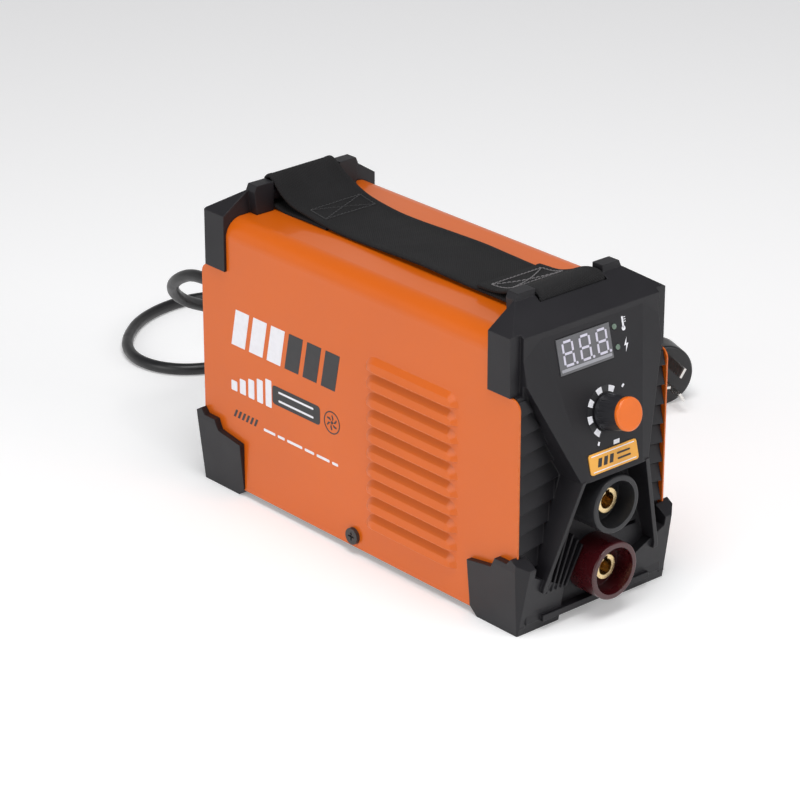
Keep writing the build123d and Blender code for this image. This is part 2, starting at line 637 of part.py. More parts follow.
def make_cover_screws():
    """Pan-head screws through the cover into the tray's flanges."""
    screws = []
    for side in (-1, 1):
        face = side * (COVER_WIDTH / 2)
        tip = side * (COVER_WIDTH / 2 - 8)
        shank = rod_along_x(COVER_LENGTH / 2, 10.7, 1.65, min(face, tip), max(face, tip))
        end = face + side * 2.2
        head = rod_along_x(COVER_LENGTH / 2, 10.7, 4.8, min(face, end), max(face, end))
        recess = sorted((face + side * 1.2, face + side * 3.0))
        cross = block(recess, (COVER_LENGTH / 2 - 2.4, COVER_LENGTH / 2 + 2.4), (10.2, 11.2))
        cross += block(recess, (COVER_LENGTH / 2 - 0.5, COVER_LENGTH / 2 + 0.5), (8.3, 13.1))
        screws.append(shank + head - cross)
    return group(screws)


def make_base_screws():
    """Screws from below that hold both mouldings to the tray."""
    screws = []
    for x in (-40, 40):
        for depth in (12.0, COVER_LENGTH - 12.0):
            head = rod_along_z(x, depth, 3.2, TRAY_BASE - 1.1, TRAY_BASE)
            screws.append(head + rod_along_z(x, depth, 1.5, TRAY_BASE - 0.5, 13))
    return group(screws)


# ---------------------------------------------------------------- fan

def fan_screw_places():
    """The four screw places round the fan."""
    return [(x, FAN_HEIGHT + z) for x in (-FAN_SCREW_OFFSET, FAN_SCREW_OFFSET)
            for z in (-FAN_SCREW_OFFSET, FAN_SCREW_OFFSET)]


def make_fan_frame():
    """Square fan frame with the motor seat on four struts."""
    half = FAN_SIZE / 2
    frame = block((-half, half), (FAN_FRONT, FAN_BACK - 0.05), (FAN_HEIGHT - half, FAN_HEIGHT + half))
    frame -= rod_along_y(0, FAN_HEIGHT, FAN_BORE, FAN_FRONT - 1, FAN_BACK + 1)
    seat = rod_along_y(0, FAN_HEIGHT, FAN_HUB - 1, FAN_FRONT, FAN_FRONT + 4)
    for angle in (45, 135):
        strut = Pos(*at(0, FAN_FRONT + 1.5, FAN_HEIGHT)) * Rot(0, angle, 0) * Box(2 * FAN_BORE + 3, 3, 5)
        seat += strut
    frame += seat
    frame -= rod_along_y(0, FAN_HEIGHT, 1.55, FAN_FRONT - 1, FAN_FRONT + 5)
    for x, z in fan_screw_places():
        frame -= rod_along_y(x, z, 2.15, FAN_FRONT - 1, FAN_BACK + 1)
    return frame


def make_fan_rotor():
    """Seven-bladed rotor with its hub and shaft."""
    rotor = rod_along_y(0, FAN_HEIGHT, FAN_HUB, FAN_FRONT + 5, FAN_BACK - 2)
    rotor += rod_along_y(0, FAN_HEIGHT, 1.5, FAN_FRONT + 0.5, FAN_FRONT + 6)
    middle = FAN_FRONT + 14.5
    for k in range(7):
        turned = Pos(*at(0, middle, FAN_HEIGHT)) * Rot(0, 360 * k / 7, 0)
        rotor += turned * Pos(23.5, 0, 0) * Rot(40, 0, 0) * Box(18, 1.4, 17)
    return rotor


def make_fan_guard():
    """Wire guard over the fan: rings and radial wires with a foot at each screw."""
    wire = 1.0
    plane = REAR_PLATE_BACK + 2.2
    centre = Pos(*at(0, plane, FAN_HEIGHT)) * Rot(90, 0, 0)
    guard = centre * Torus(9, wire)
    for ring in (17, 25, 32):
        guard += centre * Torus(ring, wire)
    for angle in (45, 135):
        guard += Pos(*at(0, plane, FAN_HEIGHT)) * Rot(0, angle, 0) * Rot(0, 90, 0) * Cylinder(wire, 79)
    for x, z in fan_screw_places():
        guard += rod_along_y(x, z, 4.2, REAR_PLATE_BACK + 0.05, REAR_PLATE_BACK + 3)
        guard -= rod_along_y(x, z, 2.15, REAR_PLATE_BACK - 1, REAR_PLATE_BACK + 4)
    return guard


def make_fan_screws():
    """Four screws through guard, moulding and fan."""
    screws = []
    for x, z in fan_screw_places():
        shank = rod_along_y(x, z, 2.0, FAN_FRONT + 2, REAR_PLATE_BACK + 3.5)
        head = rod_along_y(x, z, 3.9, REAR_PLATE_BACK + 3.3, REAR_PLATE_BACK + 5.4)
        screws.append(shank + head)
    return group(screws)


# ---------------------------------------------------------------- mains switch

def make_switch_housing():
    """Open-fronted housing with a bezel flange and two pivot holes."""
    x, z = SWITCH_AT
    back = REAR_PLATE_BACK
    housing = block((x - 10.6, x + 10.6), (back - 22, back), (z - 14.9, z + 14.9))
    housing += block((x - 12.6, x + 12.6), (back + 0.05, back + 2), (z - 17.2, z + 17.2))
    housing += block((x - 10.6, x + 10.6), (back - 1, back + 1), (z - 14.9, z + 14.9))
    housing -= block((x - 9.0, x + 9.0), (back - 19.5, back + 3), (z - 13.4, z + 13.4))
    return housing - rod_along_x(back - 8, z, 1.55, x - 20, x + 20)


def make_switch_rocker():
    """Rocker with a shallow V face, resting in its off position."""
    x, z = SWITCH_AT
    pivot = REAR_PLATE_BACK - 8
    outline = [(10, 8.2), (7.2, 0), (10, -8.2), (4, -12), (-3, -6), (-3, 6), (4, 12)]
    rocker = prism_along_x([(pivot + p, z + q) for p, q in outline], x - 8.6, x + 8.6)
    rocker += rod_along_x(pivot, z, 1.5, x - 10.2, x + 10.2)
    return rocker.rotate(Axis(at(x, pivot, z), (1, 0, 0)), SWITCH_TILT)


def make_switch_terminals():
    """Blade terminals on the back of the switch."""
    x, z = SWITCH_AT
    blades = []
    for dx in (-5, 5):
        for dz in (-7, 7):
            blades.append(block((x + dx - 0.4, x + dx + 0.4), (REAR_PLATE_BACK - 32, REAR_PLATE_BACK - 22.05),
                                (z + dz - 2.4, z + dz + 2.4)))
    return group(blades)


# ---------------------------------------------------------------- cord

def make_gland():
    """Cable gland body: thread through the plate, hexagon and domed cap."""
    x, z = GLAND_AT
    gland = rod_along_y(x, z, GLAND_RADIUS, REAR_PLATE_FRONT - 8, REAR_PLATE_BACK + 1)
    gland += hexagon_along_y(x, z, 22.0, REAR_PLATE_BACK + 0.05, REAR_PLATE_BACK + 6)
    gland += Pos(*at(x, REAR_PLATE_BACK + 11.5, z)) * Rot(-90, 0, 0) * Cone(10.4, 9.2, 11)
    return gland - rod_along_y(x, z, CORD_DIAMETER / 2, REAR_PLATE_FRONT - 10, GLAND_BACK + 1)


def make_gland_nut():
    """Lock nut inside the rear moulding."""
    x, z = GLAND_AT
    nut = hexagon_along_y(x, z, 22.0, REAR_PLATE_FRONT - 5, REAR_PLATE_FRONT - 0.05)
    return nut - rod_along_y(x, z, GLAND_RADIUS, REAR_PLATE_FRONT - 6, REAR_PLATE_FRONT + 1)


def make_boot():
    """Tapered, grooved strain relief boot between the gland and the free cord."""
    x, z = GLAND_AT
    length = BOOT_BACK - GLAND_BACK
    boot = Pos(*at(x, (GLAND_BACK + BOOT_BACK) / 2, z)) * Rot(-90, 0, 0) * Cone(*BOOT_RADII, length)
    for k in range(3):
        depth = GLAND_BACK + 4.5 + 4.6 * k
        groove = Pos(*at(x, depth, z)) * Rot(90, 0, 0) * Torus(9.0 - 0.8 * k, 1.4)
        boot -= groove
    return boot


def plug_frame():
    """Local frame at the middle of the plug's face: x along the neck, z out of the face."""
    face = Vector(PLUG_FACE[0], PLUG_FACE[1], 0).normalized()
    return Plane(origin=at(*PLUG_AT, PLUG_RADIUS), x_dir=(face.Y, -face.X, 0), z_dir=(face.X, face.Y, 0))


def on_neck_axis(reach):
    """A point (x, depth, z) on the axis of the plug's neck, so far from the plug's middle."""
    point = plug_frame().from_local_coords(Vector(reach, 0, -PLUG_THICKNESS / 2))
    return (point.X, point.Y - FRONT_EDGE, point.Z)


def cord_radii(points):
    """One bend radius for each corner, as large as its two runs allow."""
    radii = []
    for before, corner, after in zip(points, points[1:], points[2:]):
        first = Vector(*corner) - Vector(*before)
        second = Vector(*after) - Vector(*corner)
        half_turn = radians(first.get_angle(second)) / 2
        radii.append(0.45 * min(first.length, second.length) / tan(half_turn))
    return radii


def make_cord_tube(name, route):
    """A round tube along straight runs joined by tangent arcs."""
    radii = cord_radii(route)
    line = FilletPolyline([at(*point) for point in route], radius=radii)
    section = Plane(origin=line @ 0, z_dir=line % 0) * Circle(CORD_DIAMETER / 2)
    tube = sweep(section, path=line)
    expected = pi * CORD_DIAMETER ** 2 / 4 * line.length
    print(f"{name}: {line.length:.0f} mm long, volume {tube.volume / expected:.3f} of section times length")
    print("bend radii:", " ".join(f"{radius:.0f}" for radius in radii))
    return tube


def make_cord_coil():
    """The put-away turns as one ring with the coil's outer shape."""
    ring = rod_along_z(*COIL_AT, COIL_MEAN_RADIUS + COIL_WIDTH / 2, 0, COIL_HEIGHT)
    ring -= rod_along_z(*COIL_AT, COIL_MEAN_RADIUS - COIL_WIDTH / 2, -1, COIL_HEIGHT + 1)
    length = COIL_TURNS * 2 * pi * COIL_MEAN_RADIUS
    print(f"coil: {length:.0f} mm of cord")
    return fillet(ring.edges(), 3.0)


def make_plug_body():
    """Moulded plug with a rounded rim and a tapered neck on its side."""
    body = Pos(0, 0, -PLUG_THICKNESS / 2) * Cylinder(PLUG_RADIUS, PLUG_THICKNESS)
    body = fillet(body.edges().group_by(Axis.Z)[0], 5.0)
    body = fillet(body.edges().group_by(Axis.Z)[-1], 1.5)
    neck = Pos(PLUG_NECK / 2 + 6, 0, -PLUG_THICKNESS / 2) * Rot(0, 90, 0) * Cone(8.2, 4.9, PLUG_NECK - 12)
    return plug_frame().location * (body + neck)


def make_plug_blades():
    """Three flat blades: two slanted and one for earth."""
    width, thickness, length = BLADE_SIZE
    blades = []
    for x, y, turn in ((-4, 7.9, -60), (-4, -7.9, 60), (7, 0, 0)):
        blade = Pos(x, y, length / 2 + 0.05) * Rot(0, 0, turn) * Box(width, thickness, length)
        blades.append(plug_frame().location * blade)
    return group(blades)


# ---------------------------------------------------------------- power electronics

def make_main_board():
    """Power board with its four fixing holes."""
    board = block((-BOARD_HALF, BOARD_HALF), BOARD_SPAN, (BOARD_TOP - 1.6, BOARD_TOP))
    for x, depth in BOARD_SCREWS:
        board -= rod_along_z(x, depth, 1.6, BOARD_TOP - 3, BOARD_TOP + 1)
    return board


def make_standoffs():
    """Pillars between the tray and the power board."""
    return group([rod_along_z(x, depth, 3.0, TRAY_TOP, BOARD_TOP - 1.6)
                  - rod_along_z(x, depth, 1.55, 8.5, BOARD_TOP) for x, depth in BOARD_SCREWS])


def make_board_screws():
    """Screws that hold the power board to its pillars."""
    return group([rod_along_z(x, depth, 2.8, BOARD_TOP, BOARD_TOP + 1.8)
                  + rod_along_z(x, depth, 1.5, 9.5, BOARD_TOP + 0.5) for x, depth in BOARD_SCREWS])


def make_heat_sink(side):
    """Upright plate with nine level fins, so that the fan's air runs along them."""
    low, high = BOARD_TOP + 0.1, 78.0
    sink = block(sorted((side * 18, side * 22)), SINK_SPAN, (low, high))
    for fin in range(9):
        z = 18.0 + 7.1 * fin
        sink += block(sorted((side * 21, side * 45)), SINK_SPAN, (z, z + 1.6))
    return sink


def make_power_devices(side, places):
    """Flat power devices clamped to a heat sink, with three legs each."""
    solids = []
    for depth in places:
        device = block(sorted((side * 13, side * 17.95)), (depth - 8, depth + 8), (40, 61))
        for leg in (-5.4, 0, 5.4):
            device += block(sorted((side * 15, side * 16)), (depth + leg - 0.6, depth + leg + 0.6),
                            (BOARD_TOP + 0.05, 41))
        solids.append(device)
    return group(solids)


def make_capacitors():
    """Four bulk capacitors standing beside the transformer."""
    cans = []
    for x in (-33, 33):
        for depth in (160, 183):
            can = rod_along_z(x, depth, 11, BOARD_TOP + 0.05, BOARD_TOP + 40)
            cans.append(fillet(can.edges().group_by(Axis.Z)[-1], 1.2))
    return group(cans)


def make_transformer_core():
    """Ferrite core: two windows round a middle leg."""
    core = block((-20, 20), (152, 188), (BOARD_TOP + 0.05, 50))
    for side in (-1, 1):
        core -= block(sorted((side * 6, side * 14)), (151, 189), (20.7, 44))
    return core


def make_transformer_winding():
    """Winding round the middle leg."""
    winding = block((-13.8, 13.8), (148, 192), (21, 43.7))
    return winding - block((-6.1, 6.1), (151.9, 188.1), (20, 45))


def make_toroid_core(place, outer, inner, thickness):
    """Ring core with its axis across the machine."""
    x, depth, z = place
    ring = rod_along_x(depth, z, outer, x - thickness / 2, x + thickness / 2)
    return ring - rod_along_x(depth, z, inner, x - thickness, x + thickness)


def make_toroid_winding(place, outer, inner, thickness, wire, turns):
    """Separate turns of wire round a ring core."""
    x, depth, z = place
    middle = (outer + inner) / 2
    reach = outer - inner
    loop = Box(thickness + 2 * wire + 0.1, wire, reach + 2 * wire + 0.4) - \
        Box(thickness + 0.1, 2 * wire, reach + 0.4)
    solids = []
    for k in range(turns):
        placed = Pos(*at(x, depth, z)) * Rot(30 + 300 * k / (turns - 1), 0, 0) * Pos(0, 0, middle) * loop
        solids.append(placed)
    return group(solids)


def make_bridge_rectifier():
    """Input bridge rectifier standing on the board."""
    return block((0, 28), (198, 206), (BOARD_TOP + 0.05, 39))


def make_relay():
    """Soft-start relay."""
    return block((-37, -20), (194, 209), (BOARD_TOP + 0.05, 31))


def make_earth_stud():
    """Earth stud on the tray."""
    return rod_along_z(-40, 221, 2.0, TRAY_TOP, 18) + rod_along_z(-40, 221, 4.0, TRAY_TOP, 10)


def wire(points, radius):
    """An insulated wire along rounded runs."""
    line = FilletPolyline([at(*point) for point in points], radius=4.0)
    return sweep(Plane(origin=line @ 0, z_dir=line % 0) * Circle(radius), path=line)


def make_mains_wires():
    """Wires from the gland to the switch and from the switch to the board."""
    back = REAR_PLATE_BACK
    x, z = SWITCH_AT
    incoming = wire([(GLAND_AT[0], back - 11.1, GLAND_AT[1]), (GLAND_AT[0], back - 22, GLAND_AT[1] + 3),
                     (-10, back - 34, z + 12), (x - 6, back - 36, z + 12), (x - 5, back - 34, z + 7)], 1.6)
    outgoing = wire([(x - 5, back - 34, z - 7), (x - 5, back - 41, z - 16), (x - 5, back - 44, 60),
                     (x - 5, 210, BOARD_TOP + 0.1)], 1.6)
    return group([incoming, outgoing])


def main():
    os.makedirs("parts", exist_ok=True)
    neck_end = [on_neck_axis(PLUG_NECK + 20), on_neck_axis(PLUG_NECK)]
    nodes = {
        "cover": make_cover(),
        "base_tray": make_tray(),
        "front_moulding": make_front_moulding(),
        "rear_moulding": make_rear_moulding(),
        "display_window": make_display_window(),
        "display_digits": make_display_digits(),
        "indicator_lamps": make_lamps(),
        "badge": make_badge(),
        "knob_body": make_knob_body(),
        "knob_cap": make_knob_cap(),
        "potentiometer": make_pot_body(),
        "potentiometer_nut": make_pot_nut(),
        "potentiometer_shaft": make_pot_shaft(),
        "control_board": make_control_board(),
        "socket_washers": make_socket_washers(),
        "socket_nuts": make_socket_nuts(),
        "terminal_nuts": make_terminal_nuts(),
        "negative_collar": make_collar(SOCKET_HEIGHTS["negative"]),
        "negative_insert": make_insert(SOCKET_HEIGHTS["negative"]),
        "negative_bus_bar": make_bus_bar(SOCKET_HEIGHTS["negative"], 1),
        "positive_collar": make_collar(SOCKET_HEIGHTS["positive"]),
        "positive_insert": make_insert(SOCKET_HEIGHTS["positive"]),
        "positive_bus_bar": make_bus_bar(SOCKET_HEIGHTS["positive"], -1),
        "carry_strap": make_strap(),
        "cover_screws": make_cover_screws(),
        "base_screws": make_base_screws(),
        "fan_frame": make_fan_frame(),
        "fan_rotor": make_fan_rotor(),
        "fan_guard": make_fan_guard(),
        "fan_screws": make_fan_screws(),
        "switch_housing": make_switch_housing(),
        "switch_rocker": make_switch_rocker(),
        "switch_terminals": make_switch_terminals(),
        "cable_gland": make_gland(),
        "gland_nut": make_gland_nut(),
        "cord_boot": make_boot(),
        "cord_free": make_cord_tube("cord_free", CORD_ROUTE),
        "cord_coil": make_cord_coil(),
        "cord_lead": make_cord_tube("cord_lead", LEAD_ROUTE + neck_end),
        "plug_body": make_plug_body(),
        "plug_blades": make_plug_blades(),
        "main_board": make_main_board(),
        "board_standoffs": make_standoffs(),
        "board_screws": make_board_screws(),
        "transistor_heat_sink": make_heat_sink(-1),
        "rectifier_heat_sink": make_heat_sink(1),
        "power_transistors": make_power_devices(-1, (74, 94, 114, 134)),
        "output_rectifiers": make_power_devices(1, (78, 102, 126)),
        "bridge_rectifier": make_bridge_rectifier(),
        "bulk_capacitors": make_capacitors(),
        "transformer_core": make_transformer_core(),
        "transformer_winding": make_transformer_winding(),
        "choke_core": make_toroid_core(*CHOKE),
        "choke_winding": make_toroid_winding(*CHOKE, 2.0, 14),
        "filter_core": make_toroid_core(*FILTER),
        "filter_winding": make_toroid_winding(*FILTER, 1.0, 12),
        "start_relay": make_relay(),
        "earth_stud": make_earth_stud(),
        "mains_wires": make_mains_wires(),
    }
    for name, shape in nodes.items():
        export_step(shape, f"parts/{name}.step")


if __name__ == "__main__":
    main()
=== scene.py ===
import json
import math
import bmesh
import bpy
from mathutils import Matrix, Vector


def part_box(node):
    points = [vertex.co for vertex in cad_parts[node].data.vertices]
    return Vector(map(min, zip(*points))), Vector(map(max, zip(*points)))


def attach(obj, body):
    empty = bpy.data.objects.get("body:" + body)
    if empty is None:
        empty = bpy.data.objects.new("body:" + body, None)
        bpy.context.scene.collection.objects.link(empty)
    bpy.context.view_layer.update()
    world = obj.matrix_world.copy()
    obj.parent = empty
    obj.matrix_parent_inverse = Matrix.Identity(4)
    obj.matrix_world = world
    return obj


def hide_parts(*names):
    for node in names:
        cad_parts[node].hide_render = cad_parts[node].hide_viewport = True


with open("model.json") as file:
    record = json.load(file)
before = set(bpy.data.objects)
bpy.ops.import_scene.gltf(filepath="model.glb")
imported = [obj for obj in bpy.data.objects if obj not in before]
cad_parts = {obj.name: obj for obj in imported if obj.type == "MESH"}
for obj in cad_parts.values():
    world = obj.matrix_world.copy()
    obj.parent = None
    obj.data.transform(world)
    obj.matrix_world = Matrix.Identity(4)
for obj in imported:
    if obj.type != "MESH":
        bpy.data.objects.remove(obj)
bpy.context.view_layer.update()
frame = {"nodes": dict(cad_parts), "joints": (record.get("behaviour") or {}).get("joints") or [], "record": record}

MM = 0.001
JOINTS = {joint["name"]: joint for joint in frame["joints"]}

# ------------------------------------------------------------------ places read from the frame

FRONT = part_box("cover")[0].y
BUMPER_PROUD = 0.004
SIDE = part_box("front_moulding")[1].x - BUMPER_PROUD
KNOB_AT = Vector(JOINTS["knob_turn"]["pos_m"])
CONSOLE_OUT = Vector(JOINTS["knob_turn"]["axis"]).normalized()
CONSOLE_UP = CONSOLE_OUT.cross(Vector((1, 0, 0))).normalized()


def at(x, depth, z):
    """A point given by its depth behind the cover's front edge."""
    return Vector((x, FRONT + depth, z))


def middle(node):
    """The middle of a CAD node's box."""
    low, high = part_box(node)
    return (low + high) / 2


def console_matrix(x, up, out=0.0):
    """Local frame on the console's face, measured from the knob's axis."""
    origin = KNOB_AT + Vector((x, 0, 0)) + CONSOLE_UP * up + CONSOLE_OUT * out
    axes = Matrix((Vector((1, 0, 0)), CONSOLE_UP, CONSOLE_OUT)).transposed().to_4x4()
    return Matrix.Translation(origin) @ axes


def on_console(node):
    """Where the middle of a CAD node lies on the console: x and height above the knob's axis."""
    offset = middle(node) - KNOB_AT
    return offset.x, offset.dot(CONSOLE_UP)


# ------------------------------------------------------------------ camera, light and floor

CAMERA_AT = Vector((-1.1162, -1.2416, 0.8165))
CAMERA_BACK = Vector((-0.60341, -0.68732, 0.40434))
CAMERA_LENS = 150.03


def make_camera():
    """Camera at the photographed angle."""
    data = bpy.data.cameras.new("camera")
    data.lens = CAMERA_LENS
    data.sensor_width = 36
    data.clip_start = 0.05
    camera = bpy.data.objects.new("camera", data)
    camera.location = CAMERA_AT
    camera.rotation_mode = "QUATERNION"
    camera.rotation_quaternion = (-CAMERA_BACK).to_track_quat("-Z", "Y")
    bpy.context.scene.collection.objects.link(camera)
    bpy.context.scene.camera = camera


def area_light(name, place, target, size, power, colour=(1, 1, 1)):
    """A soft rectangular light that looks at a point."""
    data = bpy.data.lights.new(name, "AREA")
    data.shape = "RECTANGLE"
    data.size, data.size_y = size
    data.energy = power
    data.color = colour
    light = bpy.data.objects.new(name, data)
    light.location = place
    light.rotation_mode = "QUATERNION"
    light.rotation_quaternion = (Vector(target) - Vector(place)).to_track_quat("-Z", "Y")
    bpy.context.scene.collection.objects.link(light)


def make_world():
    """Pale studio: bright round the horizon, darker overhead."""
    world = bpy.data.worlds.new("studio")
    bpy.context.scene.world = world
    world.use_nodes = True
    nodes, links = world.node_tree.nodes, world.node_tree.links
    background = nodes["Background"]
    background.inputs["Strength"].default_value = 0.58
    place = nodes.new("ShaderNodeTexCoord")
    split = nodes.new("ShaderNodeSeparateXYZ")
    ramp = nodes.new("ShaderNodeValToRGB")
    ramp.color_ramp.elements[0].position = 0.35
    ramp.color_ramp.elements[0].color = (1.0, 1.0, 1.0, 1)
    ramp.color_ramp.elements[1].position = 0.62
    ramp.color_ramp.elements[1].color = (0.32, 0.32, 0.34, 1)
    links.new(place.outputs["Generated"], split.inputs[0])
    links.new(split.outputs["Z"], ramp.inputs[0])
    links.new(ramp.outputs["Color"], background.inputs["Color"])


def make_floor():
    """Plain pale floor that runs out to the horizon."""
    bpy.ops.mesh.primitive_plane_add(size=12, location=(0, 0, 0))
    floor = bpy.context.object
    floor.name = "floor"
    material = bpy.data.materials.new("pale_floor")
    material.use_nodes = True
    shader = material.node_tree.nodes["Principled BSDF"]
    shader.inputs["Base Color"].default_value = (0.9, 0.9, 0.9, 1)
    shader.inputs["Roughness"].default_value = 0.75
    shader.inputs["Emission Color"].default_value = (1, 1, 1, 1)
    shader.inputs["Emission Strength"].default_value = 0.22
    floor.data.materials.append(material)


def make_studio():
    """Camera, lights, world and floor."""
    make_camera()
    make_world()
    make_floor()
    area_light("overhead", (-0.25, -0.35, 1.5), (0, 0, 0.1), (0.9, 0.9), 15)
    area_light("left_fill", (-1.7, 0.1, 0.7), (0, 0, 0.08), (1.2, 1.0), 8)
    area_light("front_fill", (0.5, -1.7, 0.9), (0, 0, 0.1), (1.0, 0.8), 8)
    bpy.context.scene.view_settings.view_transform = "Standard"


make_studio()

# ------------------------------------------------------------------ materials


class Recipe:
    """Node helper: a principled material whose details are added one by one."""

    def __init__(self, name, colour, roughness, **values):
        self.material = bpy.data.materials.new(name)
        self.material.use_nodes = True
        self.nodes = self.material.node_tree.nodes
        self.links = self.material.node_tree.links
        self.shader = self.nodes["Principled BSDF"]
        self.shader.inputs["Base Color"].default_value = (*colour, 1)
        self.shader.inputs["Roughness"].default_value = roughness
        for socket, value in values.items():
            self.shader.inputs[socket.replace("_", " ")].default_value = value
        self.colour = colour
        self.roughness = roughness
        self.normal = None
        self.tint = None

    def place(self, kind="Object"):
        """Coordinates in metres, fixed to the piece."""
        return self.nodes.new("ShaderNodeTexCoord").outputs[kind]

    def noise(self, scale, detail=2.0, stretch=(1, 1, 1), coordinates="Object"):
        """Noise with its grain size given by the scale, in 1/m."""
        mapping = self.nodes.new("ShaderNodeMapping")
        mapping.inputs["Scale"].default_value = stretch
        self.links.new(self.place(coordinates), mapping.inputs["Vector"])
        noise = self.nodes.new("ShaderNodeTexNoise")
        noise.inputs["Scale"].default_value = scale
        noise.inputs["Detail"].default_value = detail
        self.links.new(mapping.outputs[0], noise.inputs["Vector"])
        return noise.outputs["Fac"]

    def remap(self, value, low, high, to_low, to_high):
        """Clamped linear change of range."""
        node = self.nodes.new("ShaderNodeMapRange")
        for socket, number in zip(("From Min", "From Max", "To Min", "To Max"), (low, high, to_low, to_high)):
            node.inputs[socket].default_value = number
        self.links.new(value, node.inputs["Value"])
        return node.outputs["Result"]

    def math(self, operation, a, b=None):
        """One arithmetic step on sockets or numbers."""
        node = self.nodes.new("ShaderNodeMath")
        node.operation = operation
        for socket, value in zip(node.inputs, (a, b)):
            if value is None:
                continue
            if isinstance(value, (int, float)):
                socket.default_value = value
            else:
                self.links.new(value, socket)
        return node.outputs[0]

    def blend_colour(self, factor, other):
        """Mixes another colour over what is there."""
        mix = self.nodes.new("ShaderNodeMix")
        mix.data_type = "RGBA"
        self.links.new(factor, mix.inputs["Factor"])
        if self.tint is None:
            mix.inputs["A"].default_value = (*self.colour, 1)
        else:
            self.links.new(self.tint, mix.inputs["A"])
        mix.inputs["B"].default_value = (*other, 1)
        self.tint = mix.outputs["Result"]
        self.links.new(self.tint, self.shader.inputs["Base Color"])
        return self

    def mottle(self, scale, other, amount, stretch=(1, 1, 1)):
        """Soft patches of a second colour."""
        patches = self.noise(scale, 3.0, stretch)
        return self.blend_colour(self.remap(patches, 0.35, 0.7, 0.0, amount), other)

    def gloss_patches(self, scale, spread):
        """Roughness that drifts a little over the surface."""
        drift = self.noise(scale, 4.0)
        value = self.remap(drift, 0.3, 0.7, self.roughness - spread, self.roughness + spread)
        self.links.new(value, self.shader.inputs["Roughness"])
        return self

    def bump(self, height, distance, strength=1.0):
        """Raises the surface by a height field."""
        node = self.nodes.new("ShaderNodeBump")
        node.inputs["Distance"].default_value = distance
        node.inputs["Strength"].default_value = strength
        self.links.new(height, node.inputs["Height"])
        if self.normal is not None:
            self.links.new(self.normal, node.inputs["Normal"])
        self.normal = node.outputs[0]
        self.links.new(self.normal, self.shader.inputs["Normal"])
        return self

    def grain(self, scale, distance, strength=1.0, stretch=(1, 1, 1)):
        """Fine surface grain."""
        return self.bump(self.noise(scale, 2.0, stretch), distance, strength)

    def rounded(self, radius):
        """Softens hard edges in the shading."""
        bevel = self.nodes.new("ShaderNodeBevel")
        bevel.inputs["Radius"].default_value = radius
        self.normal = bevel.outputs[0]
        self.links.new(self.normal, self.shader.inputs["Normal"])
        return self

    def edge_wear(self, radius, colour, amount):
        """Lighter, rubbed edges, found where the rounded normal leaves the flat one."""
        bevel = self.nodes.new("ShaderNodeBevel")
        bevel.inputs["Radius"].default_value = radius
        flat = self.nodes.new("ShaderNodeNewGeometry")
        dot = self.nodes.new("ShaderNodeVectorMath")
        dot.operation = "DOT_PRODUCT"
        self.links.new(bevel.outputs[0], dot.inputs[0])
        self.links.new(flat.outputs["Normal"], dot.inputs[1])
        edge = self.remap(dot.outputs["Value"], 0.995, 0.9, 0.0, 1.0)
        broken = self.remap(self.noise(420, 3.0), 0.42, 0.62, 0.25, 1.0)
        return self.blend_colour(self.math("MULTIPLY", self.math("MULTIPLY", edge, broken), amount), colour)


def powder_coat():
    """Orange powder coat: faint orange peel, paler where it is thin on the edges."""
    recipe = Recipe("orange_powder_coat", (0.67, 0.122, 0.003), 0.36, Specular_IOR_Level=0.3, Coat_Weight=0.3,
                    Coat_Roughness=0.06)
    recipe.rounded(0.6 * MM).mottle(9, (0.60, 0.108, 0.006), 0.6)
    recipe.edge_wear(0.9 * MM, (0.80, 0.27, 0.08), 0.5)
    return recipe.gloss_patches(16, 0.05).grain(1300, 0.05 * MM, 0.22).grain(260, 0.10 * MM, 0.10).material


def black_coat(name):
    """Black powder coat on the tray and the screws."""
    recipe = Recipe(name, (0.022, 0.022, 0.024), 0.45)
    recipe.rounded(0.3 * MM).mottle(40, (0.035, 0.034, 0.033), 0.8)
    return recipe.grain(1500, 0.05 * MM, 0.3).material


def moulded_plastic(name, colour, roughness=0.42, edge=0.8):
    """Moulded plastic with a spark-eroded grain and slightly polished edges."""
    recipe = Recipe(name, colour, roughness, Specular_IOR_Level=0.34)
    lighter = tuple(min(1.0, 1.5 * part + 0.008) for part in colour)
    recipe.rounded(edge * MM).mottle(22, lighter, 0.30).edge_wear(0.7 * MM, lighter, 0.8)
    return recipe.gloss_patches(30, 0.06).grain(2300, 0.06 * MM, 0.35).material


def glossy_plastic(name, colour, roughness=0.22, edge=0.4):
    """Smooth plastic with faint handling marks in its gloss."""
    recipe = Recipe(name, colour, roughness, Coat_Weight=0.25, Coat_Roughness=0.08)
    darker = tuple(0.8 * part for part in colour)
    recipe.rounded(edge * MM).mottle(60, darker, 0.4)
    return recipe.gloss_patches(90, 0.06).grain(900, 0.02 * MM, 0.2).material


def metal(name, colour, roughness, stretch=(1, 1, 1)):
    """Bare metal with fine tool marks along one direction."""
    recipe = Recipe(name, colour, roughness, Metallic=1.0)
    darker = tuple(0.72 * part for part in colour)
    recipe.rounded(0.25 * MM).mottle(140, darker, 0.55).gloss_patches(210, 0.08)
    return recipe.grain(1400, 0.03 * MM, 0.5, stretch).material


def cord_rubber(name):
    """Matt rubber jacket with a little dust and a drawn grain."""
    recipe = Recipe(name, (0.009, 0.009, 0.010), 0.36, Specular_IOR_Level=0.5)
    recipe.rounded(0.3 * MM).mottle(70, (0.022, 0.021, 0.021), 0.4)
    return recipe.gloss_patches(120, 0.08).grain(1900, 0.05 * MM, 0.4).material


